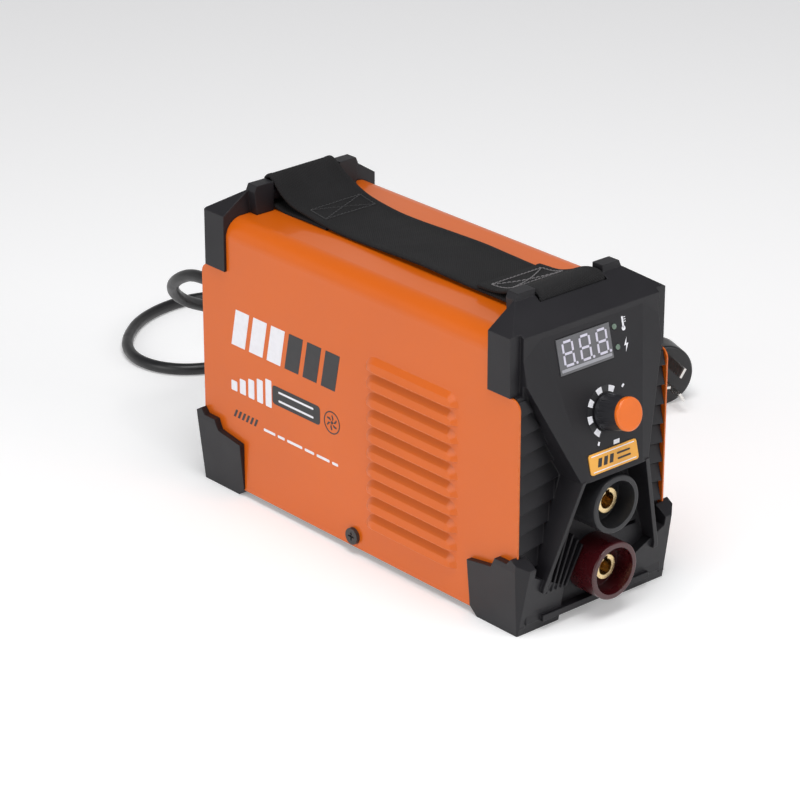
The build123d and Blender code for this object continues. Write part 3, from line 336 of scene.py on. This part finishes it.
def board_laminate():
    """Green circuit board with copper tracks under the mask."""
    recipe = Recipe("green_board", (0.012, 0.10, 0.045), 0.3, Coat_Weight=0.4)
    tracks = recipe.nodes.new("ShaderNodeTexVoronoi")
    tracks.distance = "CHEBYCHEV"
    tracks.inputs["Scale"].default_value = 190
    recipe.links.new(recipe.place(), tracks.inputs["Vector"])
    lines = recipe.remap(tracks.outputs["Distance"], 0.35, 0.4, 0.0, 0.7)
    return recipe.blend_colour(lines, (0.02, 0.17, 0.07)).grain(800, 0.04 * MM, 0.3).material


def winding_wire():
    """Enamelled copper wire, wound close."""
    recipe = Recipe("winding_wire", (0.50, 0.19, 0.06), 0.25, Metallic=0.85, Coat_Weight=0.5)
    wave = recipe.nodes.new("ShaderNodeTexWave")
    wave.inputs["Scale"].default_value = 320
    wave.bands_direction = "DIAGONAL"
    recipe.links.new(recipe.place(), wave.inputs["Vector"])
    return recipe.bump(wave.outputs["Fac"], 0.3 * MM, 0.6).mottle(90, (0.33, 0.10, 0.03), 0.6).material


def webbing():
    """Woven strap: rows of diagonal yarns, seen as a fine mesh with a dull sheen, with painted shade darkening the
    weave's cells in place of shade in the gaps between the yarns.
    """
    recipe = Recipe("strap_webbing", (0.0035, 0.0032, 0.0038), 0.95, Sheen_Weight=0.0, Sheen_Roughness=0.5)
    split = recipe.nodes.new("ShaderNodeSeparateXYZ")
    recipe.links.new(recipe.place("UV"), split.inputs[0])
    across, along = split.outputs["X"], split.outputs["Y"]
    tau = 2 * math.pi
    pitch = 1.5 * MM
    rows = recipe.math("SINE", recipe.math("MULTIPLY", across, tau / pitch))
    picks = recipe.math("SINE", recipe.math("MULTIPLY", along, tau / pitch))
    weave = recipe.math("MULTIPLY", rows, picks)
    ribs = recipe.math("SINE", recipe.math("MULTIPLY", recipe.math("ADD", across, along), tau / (0.75 * MM)))
    height = recipe.math("ADD", weave, recipe.math("MULTIPLY", ribs, 0.35))
    recipe.bump(height, 0.16 * MM, 0.9)
    # painted shade: where the weave value runs high the colour goes nearly black, standing in for shade in the
    # gaps between the yarns
    weave_gap_shade = recipe.remap(weave, 0.55, 0.95, 0.0, 0.8)
    recipe.mottle(55, (0.008, 0.0075, 0.0085), 0.8)
    return recipe.blend_colour(weave_gap_shade, (0.002, 0.002, 0.0025)).grain(2600, 0.08 * MM, 0.4).material


def thread(name, colour):
    """Sewing thread with a twist."""
    recipe = Recipe(name, colour, 0.6, Sheen_Weight=0.2)
    wave = recipe.nodes.new("ShaderNodeTexWave")
    wave.inputs["Scale"].default_value = 900
    wave.bands_direction = "DIAGONAL"
    recipe.links.new(recipe.place(), wave.inputs["Vector"])
    darker = tuple(0.6 * part for part in colour)
    return recipe.bump(wave.outputs["Fac"], 0.1 * MM, 0.6).mottle(300, darker, 0.5).material


def printed(name, colour, roughness=0.4):
    """Screen-printed ink: nearly flat, with a slightly uneven edge of density."""
    recipe = Recipe(name, colour, roughness)
    darker = tuple(0.85 * part for part in colour)
    return recipe.mottle(320, darker, 0.35).gloss_patches(200, 0.05).grain(1500, 0.02 * MM, 0.25).material


def smoked_window():
    """Grey face of the display module under its clear surface."""
    recipe = Recipe("display_face", (0.105, 0.105, 0.112), 0.32, Coat_Weight=0.6, Coat_Roughness=0.1)
    recipe.mottle(160, (0.13, 0.13, 0.14), 0.6)
    return recipe.gloss_patches(90, 0.05).grain(1200, 0.03 * MM, 0.2).material


def clear_lens(name, colour):
    """Small tinted lamp lens."""
    recipe = Recipe(name, colour, 0.12, Transmission_Weight=0.5, IOR=1.49, Coat_Weight=0.4)
    return recipe.mottle(500, tuple(0.7 * part for part in colour), 0.5).grain(900, 0.02 * MM, 0.2).material


ORANGE = powder_coat()
PLASTIC = moulded_plastic("black_moulded_plastic", (0.0095, 0.0088, 0.0110), 0.44)
STEEL = metal("zinc_steel", (0.62, 0.62, 0.64), 0.3)
BRASS = metal("turned_brass", (0.86, 0.66, 0.36), 0.24, (1, 6, 1))
COPPER = metal("copper_bar", (0.80, 0.42, 0.28), 0.3)
ALUMINIUM = metal("extruded_aluminium", (0.72, 0.73, 0.75), 0.35, (1, 8, 1))
NICKEL = metal("nickel_wire", (0.66, 0.66, 0.68), 0.22)
TINNED = metal("tinned_brass", (0.80, 0.79, 0.76), 0.24)
RUBBER = cord_rubber("cord_rubber")
BOARD = board_laminate()
WEBBING = webbing()
WHITE_INK = printed("white_ink", (0.82, 0.82, 0.86))
BLACK_INK = printed("black_ink", (0.018, 0.018, 0.02))
GREY_INK = printed("grey_ink", (0.33, 0.33, 0.36))
CAP_ORANGE = glossy_plastic("knob_cap_orange", (0.80, 0.150, 0.004), 0.35)
BADGE_GOLD = glossy_plastic("badge_gold", (0.84, 0.40, 0.055), 0.3)
THREAD = thread("black_thread", (0.016, 0.015, 0.017))
PALE_THREAD = thread("pale_thread", (0.17, 0.16, 0.165))

SLOT_MATERIALS = {
    "cover_paint": ORANGE,
    "tray_steel": black_coat("black_powder_coat"),
    "moulded_plastic": PLASTIC,
    "window_plastic": smoked_window(),
    "digit_segments": printed("digit_segments", (0.62, 0.60, 0.70), 0.35),
    "lamp_lens": clear_lens("lamp_lens", (0.30, 0.42, 0.33)),
    "badge_plate": BADGE_GOLD,
    "knob_grip": moulded_plastic("knob_grip_plastic", (0.016, 0.016, 0.019), 0.4, 0.4),
    "knob_face": CAP_ORANGE,
    "zinc_steel": STEEL,
    "board_laminate": BOARD,
    "black_collar": moulded_plastic("collar_black", (0.020, 0.020, 0.022), 0.33, 0.5),
    "maroon_collar": glossy_plastic("collar_maroon", (0.050, 0.004, 0.006), 0.28, 0.5),
    "socket_brass": BRASS,
    "copper_bar": COPPER,
    "strap_webbing": WEBBING,
    "black_screws": black_coat("black_oxide"),
    "fan_plastic": moulded_plastic("fan_plastic", (0.014, 0.014, 0.016), 0.45, 0.4),
    "guard_wire": NICKEL,
    "switch_plastic": moulded_plastic("switch_plastic", (0.018, 0.018, 0.02), 0.35, 0.4),
    "rocker_plastic": glossy_plastic("rocker_red", (0.42, 0.012, 0.012), 0.2),
    "tinned_brass": TINNED,
    "gland_plastic": moulded_plastic("gland_nylon", (0.02, 0.02, 0.022), 0.4, 0.4),
    "cord_rubber": RUBBER,
    "plug_rubber": cord_rubber("plug_rubber"),
    "sink_aluminium": ALUMINIUM,
    "device_plastic": moulded_plastic("device_epoxy", (0.02, 0.02, 0.022), 0.5, 0.3),
    "relay_case": glossy_plastic("relay_case", (0.02, 0.06, 0.25)),
    "capacitor_sleeve": glossy_plastic("capacitor_sleeve", (0.012, 0.02, 0.07)),
    "ferrite": moulded_plastic("ferrite_core", (0.03, 0.03, 0.032), 0.5, 0.4),
    "winding_copper": winding_wire(),
    "wire_insulation": glossy_plastic("wire_brown", (0.14, 0.05, 0.02), 0.35),
}


def dress_nodes():
    """Gives every carried-over CAD node the material of its slot."""
    for part in frame["record"]["subparts"]:
        node = frame["nodes"][part["node"]]
        node.data.materials.clear()
        node.data.materials.append(SLOT_MATERIALS[part["material_slot"]])


dress_nodes()

# ------------------------------------------------------------------ making pieces


def add_piece(name, bm, material, body="casing", smooth=True, place=None):
    """Turns a bmesh into a piece that rides on a body."""
    if place is not None:
        bm.transform(place)
    bmesh.ops.recalc_face_normals(bm, faces=bm.faces)
    mesh = bpy.data.meshes.new(name)
    bm.to_mesh(mesh)
    bm.free()
    for face in mesh.polygons:
        face.use_smooth = smooth
    mesh.materials.append(material)
    piece = bpy.data.objects.new(name, mesh)
    bpy.context.scene.collection.objects.link(piece)
    if smooth:
        mark_sharp(mesh, 38)
    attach(piece, body)
    return piece


def mark_sharp(mesh, degrees):
    """Keeps edges sharper than the angle crisp under smooth shading."""
    bm = bmesh.new()
    bm.from_mesh(mesh)
    for edge in bm.edges:
        if len(edge.link_faces) == 2 and edge.calc_face_angle() > math.radians(degrees):
            edge.smooth = False
    bm.to_mesh(mesh)
    bm.free()


def add_prism(bm, outline, low, high, place=None):
    """A closed prism from an (x, y) outline, between two heights."""
    place = place or Matrix.Identity(4)
    bottom = [bm.verts.new(place @ Vector((x, y, low))) for x, y in outline]
    top = [bm.verts.new(place @ Vector((x, y, high))) for x, y in outline]
    count = len(outline)
    bm.faces.new(bottom[::-1])
    bm.faces.new(top)
    for k in range(count):
        bm.faces.new((bottom[k], bottom[(k + 1) % count], top[(k + 1) % count], top[k]))


def rounded_box(width, height, radius, steps=5):
    """Outline of a rectangle with round corners."""
    points = []
    for corner, (sx, sy) in enumerate(((1, 1), (-1, 1), (-1, -1), (1, -1))):
        for k in range(steps + 1):
            angle = math.radians(90 * corner + 90 * k / steps)
            points.append((sx * (width / 2 - radius) + radius * math.cos(angle),
                           sy * (height / 2 - radius) + radius * math.sin(angle)))
    return points


def disc_outline(radius, count=24, centre=(0, 0)):
    """Outline of a circle."""
    return [(centre[0] + radius * math.cos(2 * math.pi * k / count),
             centre[1] + radius * math.sin(2 * math.pi * k / count)) for k in range(count)]


def arc_band(inner, outer, start, end, steps):
    """Outline of a stretch of a ring, with its angles in degrees."""
    angles = [math.radians(start + (end - start) * k / steps) for k in range(steps + 1)]
    out = [(outer * math.cos(a), outer * math.sin(a)) for a in angles]
    back = [(inner * math.cos(a), inner * math.sin(a)) for a in reversed(angles)]
    return out + back


def add_tube(bm, points, radius, sides=8):
    """A round closed tube through a list of points."""
    points = [Vector(p) for p in points]
    rings = []
    side = None
    for k, point in enumerate(points):
        ahead = (points[min(k + 1, len(points) - 1)] - points[max(k - 1, 0)]).normalized()
        if side is None:
            side = ahead.orthogonal().normalized()
        side = (side - ahead * side.dot(ahead)).normalized()
        other = ahead.cross(side)
        rings.append([bm.verts.new(point + radius * (side * math.cos(2 * math.pi * s / sides)
                                                     + other * math.sin(2 * math.pi * s / sides)))
                      for s in range(sides)])
    for low, high in zip(rings, rings[1:]):
        for s in range(sides):
            bm.faces.new((low[s], low[(s + 1) % sides], high[(s + 1) % sides], high[s]))
    bm.faces.new(rings[0][::-1])
    bm.faces.new(rings[-1])


# ------------------------------------------------------------------ cord

CORD_DIAMETER = 0.0072
FLOOR_LEVEL = CORD_DIAMETER / 2

# (x, depth, z) in metres, from the boot down to the floor and round to the coil
CORD_ROUTE = [
    (-0.024, 0.292, 0.1045), (-0.024, 0.305, 0.1045), (-0.024, 0.319, 0.0985), (-0.0205, 0.332, 0.089),
    (-0.012, 0.341, 0.078), (0.001, 0.345, 0.068), (0.019, 0.347, 0.0595), (0.039, 0.350, 0.0515),
    (0.060, 0.355, 0.044), (0.081, 0.363, 0.0355), (0.1015, 0.374, 0.0265), (0.122, 0.388, 0.018),
    (0.1365, 0.408, 0.010), (0.1405, 0.430, 0.005), (0.134, 0.451, FLOOR_LEVEL), (0.119, 0.467, FLOOR_LEVEL),
    (0.098, 0.475, FLOOR_LEVEL), (0.076, 0.474, FLOOR_LEVEL), (0.055, 0.467, FLOOR_LEVEL),
    (0.037, 0.454, FLOOR_LEVEL), (0.0225, 0.438, FLOOR_LEVEL), (0.015, 0.418, FLOOR_LEVEL),
    (0.018, 0.398, FLOOR_LEVEL), (0.031, 0.382, FLOOR_LEVEL), (0.051, 0.374, FLOOR_LEVEL),
    (0.074, 0.3705, FLOOR_LEVEL), (0.096, 0.363, FLOOR_LEVEL),
]

# From the coil to the plug; the last two points lie on the axis of the plug's neck
LEAD_ROUTE = [
    (0.157, 0.300, 0.0112), (0.155, 0.281, 0.0085), (0.150, 0.262, FLOOR_LEVEL),
    (0.1435, 0.2435, FLOOR_LEVEL), (0.139, 0.224, 0.007), (0.146, 0.2055, 0.013),
    (0.1607, 0.1912, 0.019), (0.1794, 0.1842, 0.019),
]


COIL_START = math.radians(112)
COIL_TURNS = 5.39
COIL_STEPS = 14  # control points per turn
SECOND_LAYER = FLOOR_LEVEL + 0.0068

# (radius, height) of each turn: three inwards on the floor, then outwards on top of them
COIL_LAYERS = [
    (0.0475, FLOOR_LEVEL), (0.0400, FLOOR_LEVEL), (0.0326, FLOOR_LEVEL + 0.0006),
    (0.0362, SECOND_LAYER), (0.0436, SECOND_LAYER), (0.0440, SECOND_LAYER + 0.0006),
]


def coil_points():
    """The put-away turns: each keeps its radius for most of the way, then eases over to the next."""
    centre = middle("cord_coil")
    points = []
    for k in range(int(COIL_TURNS * COIL_STEPS)):
        done = k / COIL_STEPS
        turn = min(int(done), len(COIL_LAYERS) - 2)
        share = min(1.0, max(0.0, (done - turn - 0.62) / 0.38))
        ease = share * share * (3 - 2 * share)
        radius = COIL_LAYERS[turn][0] * (1 - ease) + COIL_LAYERS[turn + 1][0] * ease
        height = COIL_LAYERS[turn][1] * (1 - ease) + COIL_LAYERS[turn + 1][1] * ease
        angle = COIL_START - 2 * math.pi * done
        x, y = radius * math.cos(angle), radius * math.sin(angle)
        points.append(Vector((centre.x + x, centre.y + y, height)))
    return points


def make_cord():
    """The whole free cord as one smooth curve: route, coil and the lead to the plug."""
    points = [at(*p) for p in CORD_ROUTE] + coil_points() + [at(*p) for p in LEAD_ROUTE]
    curve = bpy.data.curves.new("mains_cord", "CURVE")
    curve.dimensions = "3D"
    curve.bevel_depth = CORD_DIAMETER / 2
    curve.bevel_resolution = 6
    curve.use_fill_caps = True
    spline = curve.splines.new("NURBS")
    spline.points.add(len(points) - 1)
    for target, point in zip(spline.points, points):
        target.co = (*point, 1)
    spline.order_u = 3
    spline.use_endpoint_u = True
    spline.resolution_u = 8
    cord = bpy.data.objects.new("mains_cord", curve)
    bpy.context.scene.collection.objects.link(cord)
    curve.materials.append(RUBBER)
    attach(cord, "casing")
    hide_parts("cord_free", "cord_coil", "cord_lead")
    return cord


TIE_ANGLE = math.radians(38)
TIE_WIDTH = 0.016
TIE_THICKNESS = 0.0009
BUNDLE_RADIUS = 0.040  # from the coil's axis to the middle of its bundle
BUNDLE_MIDDLE = 0.0088


def make_coil_tie():
    """Hook-and-loop tie round the coil's bundle."""
    centre = middle("cord_coil")
    across = Vector((math.cos(TIE_ANGLE), math.sin(TIE_ANGLE), 0))
    along = Vector((-math.sin(TIE_ANGLE), math.cos(TIE_ANGLE), 0))
    start = Vector((centre.x, centre.y, BUNDLE_MIDDLE))
    outline = rounded_box(0.0262, 0.0176, 0.0055, 6)
    bm = bmesh.new()
    rings = []
    for grow, sides in ((0.0, (-1, 1)), (TIE_THICKNESS, (1, -1))):
        scale = 1 + grow / 0.009
        for side in sides:
            ring = []
            for u, v in outline:
                point = across * (BUNDLE_RADIUS + u * scale) + along * (side * TIE_WIDTH / 2)
                ring.append(bm.verts.new(start + point + Vector((0, 0, v * scale))))
            rings.append(ring)
    count = len(outline)
    for first, second in zip(rings, rings[1:] + rings[:1]):
        for k in range(count):
            bm.faces.new((first[k], first[(k + 1) % count], second[(k + 1) % count], second[k]))
    for vertex in bm.verts:
        vertex.co.z = max(vertex.co.z, 0.0001)
    return add_piece("coil_tie", bm, WEBBING)


CORD = make_cord()
TIE = make_coil_tie()

# ------------------------------------------------------------------ carry strap

STRAP_WIDTH = 0.046
STRAP_THICKNESS = 0.0016

# (depth, z) along the strap's middle: a cut end on top, round the front bar, along the roof,
# over the rear bar with some slack, and the other cut end underneath
STRAP_ROUTE = [
    (0.066, 0.1690), (0.052, 0.1700), (0.042, 0.1730), (0.034, 0.1768), (0.028, 0.1786),
    (0.0225, 0.1788), (0.0192, 0.1772), (0.0186, 0.1740), (0.0186, 0.1705), (0.0200, 0.1678),
    (0.0260, 0.1672), (0.036, 0.1670), (0.052, 0.1672), (0.070, 0.1670), (0.090, 0.1674),
    (0.110, 0.1678), (0.135, 0.1671), (0.160, 0.1662), (0.178, 0.1662), (0.194, 0.1675),
    (0.207, 0.1694), (0.217, 0.1720), (0.226, 0.1762), (0.2325, 0.1810), (0.2370, 0.1832),
    (0.2402, 0.1815), (0.2412, 0.1775), (0.2414, 0.1720), (0.2405, 0.1688), (0.2370, 0.1674),
    (0.228, 0.1668), (0.214, 0.1662), (0.200, 0.1656), (0.188, 0.1654),
]
SAMPLES_PER_POINT = 5


def smooth_line(points, steps):
    """Points on a Catmull-Rom curve through the given ones."""
    padded = [points[0] * 2 - points[1]] + points + [points[-1] * 2 - points[-2]]
    line = []
    for a, b, c, d in zip(padded, padded[1:], padded[2:], padded[3:]):
        for k in range(steps):
            t = k / steps
            line.append(0.5 * (2 * b + (c - a) * t + (2 * a - 5 * b + 4 * c - d) * t * t
                               + (3 * b - a - 3 * c + d) * t ** 3))
    return line + [points[-1]]


STRAP_LINE = smooth_line([at(0, *p) for p in STRAP_ROUTE], SAMPLES_PER_POINT)


def strap_frame(k):
    """Position, direction along and direction out of the strap at one sample of its line."""
    ahead = STRAP_LINE[min(k + 1, len(STRAP_LINE) - 1)] - STRAP_LINE[max(k - 1, 0)]
    along = ahead.normalized()
    return STRAP_LINE[k], along, Vector((1, 0, 0)).cross(along).normalized()


def strap_twist(depth):
    """How far the right-hand edge is lifted, and the left-hand one lowered, before the rear bar."""
    return 0.0016 * math.exp(-((depth - 0.222) / 0.012) ** 2)


def strap_point(x, k, out):
    """A point on the strap at a distance x from its middle line and a height out from its middle surface."""
    place, _, outwards = strap_frame(k)
    twist = strap_twist(place.y - FRONT) * x / (STRAP_WIDTH / 2)
    return place + Vector((x, 0, twist)) + outwards * out


def strap_section():
    """Cross-section (x, out): flat, with a slightly thicker woven edge on both sides."""
    half, thick = STRAP_WIDTH / 2, STRAP_THICKNESS / 2
    edge = [(half - 0.0040, thick), (half - 0.0032, thick + 0.00022), (half - 0.0012, thick + 0.00022),
            (half - 0.0003, thick - 0.0001), (half, thick - 0.0004)]
    inner = [(x * half, thick) for x in (-0.5, -0.25, 0.0, 0.25, 0.5)]
    top = [(-x, out) for x, out in reversed(edge)] + inner + edge
    return top + [(x, -out) for x, out in reversed(top)]


def make_strap():
    """The woven strap as one thin band, with its weave laid out in metres."""
    bm = bmesh.new()
    weave = bm.loops.layers.uv.new("weave")
    section = strap_section()
    count = len(section)
    rings = [[bm.verts.new(strap_point(x, k, out)) for x, out in section] for k in range(len(STRAP_LINE))]
    reach = [0.0]
    for before, after in zip(STRAP_LINE, STRAP_LINE[1:]):
        reach.append(reach[-1] + (after - before).length)
    for k in range(len(rings) - 1):
        for s in range(count):
            t = (s + 1) % count
            face = bm.faces.new((rings[k][s], rings[k][t], rings[k + 1][t], rings[k + 1][s]))
            across = (section[s][0], section[t][0], section[t][0], section[s][0])
            along = (reach[k], reach[k], reach[k + 1], reach[k + 1])
            for loop, u, v in zip(face.loops, across, along):
                loop[weave].uv = (u, v)
    bm.faces.new(rings[0])
    bm.faces.new(rings[-1][::-1])
    strap = add_piece("carry_strap_webbing", bm, WEBBING)
    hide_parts("carry_strap")
    return strap


def stitch_row(bm, outer, start, end, count):
    """A row of stitches between two (x, sample) places on one side of the strap."""
    for k in range(count):
        first, last = (k + 0.12) / count, (k + 0.88) / count
        points = []
        near_first, near_last = first * 0.7 + last * 0.3, first * 0.3 + last * 0.7
        for share, lift in ((first, 0.0), (near_first, 0.0003), (near_last, 0.0003), (last, 0.0)):
            x = start[0] + (end[0] - start[0]) * share
            sample = start[1] + (end[1] - start[1]) * share
            low = int(sample)
            high = min(low + 1, len(STRAP_LINE) - 1)
            out = outer * (STRAP_THICKNESS / 2 + lift)
            points.append(strap_point(x, low, out).lerp(strap_point(x, high, out), sample - low))
        add_tube(bm, points, 0.00032, 6)


def make_stitching(name, near, far, material):
    """A box of stitches with crossed diagonals on the strap's upper side, between two samples."""
    bm = bmesh.new()
    outer = 1 if strap_frame(near)[2].z > 0 else -1
    half = STRAP_WIDTH / 2 - 0.005
    corners = [(-half, near), (half, near), (half, far), (-half, far)]
    for a, b in zip(corners, corners[1:] + corners[:1]):
        stitch_row(bm, outer, a, b, 14 if a[1] == b[1] else 7)
    stitch_row(bm, outer, corners[0], corners[2], 15)
    stitch_row(bm, outer, corners[1], corners[3], 15)
    return add_piece(name, bm, material)


def nearest_sample(depth, start):
    """The first sample from the start on that has reached the depth."""
    return next(k for k in range(start, len(STRAP_LINE)) if STRAP_LINE[k].y >= FRONT + depth)


STRAP = make_strap()
ROOF_START = 12 * SAMPLES_PER_POINT  # past the loop round the front bar
REAR_SEAM = [nearest_sample(depth, ROOF_START) for depth in (0.192, 0.206)]
STITCHES = [make_stitching("front_strap_stitching", 2, 9, PALE_THREAD),
            make_stitching("rear_strap_stitching", *REAR_SEAM, THREAD)]

# ------------------------------------------------------------------ console markings

INK = 0.00012


def ink_piece(name, outlines, material, place, body="casing"):
    """Thin printed shapes on a flat face."""
    bm = bmesh.new()
    for outline in outlines:
        add_prism(bm, outline, -0.5 * INK, INK)
    return add_piece(name, bm, material, body, smooth=False, place=place)


def shifted(outline, x, y):
    """The outline moved in its plane."""
    return [(px + x, py + y) for px, py in outline]


def slanted(x, y, width, height, slant):
    """A parallelogram whose top is moved sideways by the slant."""
    return [(x, y), (x + width, y), (x + width + slant, y + height), (x + slant, y + height)]


SCALE_START = 55  # degrees, counted against the clock from the right
SCALE_STEP = 20
SCALE_FIELDS = 9


def scale_field(k):
    """One field of the dial's band, with a small gap at both ends."""
    start = SCALE_START + SCALE_STEP * k
    return arc_band(0.0108, 0.0140, start + 1, start + SCALE_STEP - 1, 6)


def make_dial():
    """Scale round the knob: alternating light and dark fields, two end ticks and a small mark below."""
    face = console_matrix(0, 0)
    light = [scale_field(k) for k in range(0, SCALE_FIELDS, 2)]
    dark = [scale_field(k) for k in range(1, SCALE_FIELDS, 2)]
    light += [arc_band(0.0162, 0.0182, angle - 2, angle + 2, 2) for angle in (38, 238)]
    light.append(slanted(0.0008, -0.0178, 0.0042, 0.0022, 0.0006))
    ink_piece("dial_light_fields", light, WHITE_INK, face)
    ink_piece("dial_dark_fields", dark, BLACK_INK, face)


def make_lamp_signs():
    """A thermometer sign and a mains sign beside the two lamps."""
    lamps_middle = on_console("indicator_lamps")[1]
    upper, lower = lamps_middle + 0.0055, lamps_middle - 0.0055
    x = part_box("indicator_lamps")[1].x + 0.0045
    bulb = disc_outline(0.0013, 16, (x, upper - 0.0024))
    stem = shifted(rounded_box(0.0012, 0.0062, 0.0005), x, upper + 0.0008)
    marks = [shifted(rounded_box(0.0012, 0.0004, 0.0001, 1), x + 0.0016, upper + 0.0008 + 0.0012 * k)
             for k in range(3)]
    bolt = [[(x + 0.0010, lower + 0.0036), (x - 0.0014, lower - 0.0004), (x - 0.0001, lower - 0.0004)],
            [(x - 0.0008, lower - 0.0038), (x + 0.0016, lower + 0.0004), (x + 0.0002, lower + 0.0004)]]
    ink_piece("lamp_signs", [bulb, stem] + marks + bolt, WHITE_INK, console_matrix(0, 0))


def make_window_band():
    """Grey printed band along the lower edge of the display window."""
    x, up = on_console("display_window")
    low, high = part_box("display_window")
    band = shifted(rounded_box(high.x - low.x - 0.002, 0.0016, 0.0004), x, up - 0.0074)
    ink_piece("display_band", [band], GREY_INK, console_matrix(0, 0, 0.0004))


BADGE_FACE = 0.0006


def make_badge_mark():
    """Plain slanted bars and lines on the nameplate, with a fine line above and below."""
    x, up = on_console("badge")
    low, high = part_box("badge")
    width = high.x - low.x
    face = console_matrix(0, 0, BADGE_FACE)
    bars = [slanted(x - 0.0120 + 0.0042 * k, up - 0.0022, 0.0026, 0.0044, 0.0014) for k in range(3)]
    lines = [shifted(rounded_box(0.0095, 0.0010, 0.0004, 2), x + 0.0072, up + dy) for dy in (-0.0014, 0.0014)]
    edges = [shifted(rounded_box(width - 0.0036, 0.0005, 0.0002, 1), x, up + dy) for dy in (-0.0042, 0.0042)]
    ink_piece("badge_bars", bars + lines, BLACK_INK, face)
    ink_piece("badge_lines", edges, WHITE_INK, face)


make_dial()
make_lamp_signs()
make_window_band()
make_badge_mark()

# ------------------------------------------------------------------ side markings

MARKS_MIDDLE = 0.187  # depth of the middle of the printed area


def side_matrix(side):
    """Local frame on one side of the cover: x to the reader's right, y up, z outwards."""
    axes = Matrix(((0, side, 0), (0, 0, 1), (side, 0, 0))).transposed().to_4x4()
    return Matrix.Translation(at(side * SIDE, MARKS_MIDDLE, 0)) @ axes


# one curved blade of the fan sign as (radius, turn in radians), for a sign of radius 1
BLADE_SHAPE = [(0.25, 0.0), (0.55, 0.05), (0.86, 0.42), (0.80, 0.62), (0.55, 0.50), (0.30, 0.30)]


def fan_sign(x, y, radius):
    """Six curved blades round a hub."""
    shapes = [disc_outline(0.18 * radius, 16, (x, y))]
    for k in range(6):
        start = math.radians(60 * k)
        shapes.append([(x + radius * r * math.cos(start + turn), y + radius * r * math.sin(start + turn))
                       for r, turn in BLADE_SHAPE])
    return shapes


def dash_row(start, y, lengths):
    """A line of dashes of different lengths."""
    dashes = []
    for length in lengths:
        dashes.append(shifted(rounded_box(length, 0.0016, 0.0005, 2), start + length / 2, y))
        start += length + 0.0022
    return dashes


def make_side_marks(side, name):
    """Plain printed markings: slanted band, rising blocks, label, fan sign, hatch and dashes."""
    face = side_matrix(side)
    band = [slanted(-0.0476 + 0.0155 * k, 0.0915, 0.0118, 0.022, 0.0045) for k in range(6)]
    blocks = [shifted(rounded_box(0.0052, height, 0.0006, 2), -0.0458 + 0.0076 * k, 0.0635 + height / 2)
              for k, height in enumerate((0.006, 0.009, 0.0115, 0.014, 0.0165))]
    dashes = dash_row(-0.020, 0.0482, (0.010, 0.006, 0.013, 0.008, 0.011, 0.005))
    hatch = [slanted(-0.0470 + 0.0036 * k, 0.0475, 0.0018, 0.0046, 0.0022) for k in range(6)]
    label = [shifted(rounded_box(0.041, 0.0112, 0.0022), 0.0085, 0.0726)]
    label_lines = [shifted(rounded_box(0.030, 0.0012, 0.0004, 2), 0.0085, z) for z in (0.0700, 0.0752)]
    ring = [shifted(arc_band(0.0060, 0.0067, 60 * k, 60 * k + 60, 8), 0.039, 0.0722) for k in range(6)]
    fan = ring + fan_sign(0.039, 0.0722, 0.0054)
    ink_piece(name + "_marks_light", band[:3] + blocks + dashes, WHITE_INK, face)
    ink_piece(name + "_marks_dark", band[3:] + hatch + label + fan, BLACK_INK, face)
    ink_piece(name + "_label_lines", label_lines, WHITE_INK, face @ Matrix.Translation((0, 0, INK)))


make_side_marks(-1, "left")
make_side_marks(1, "right")
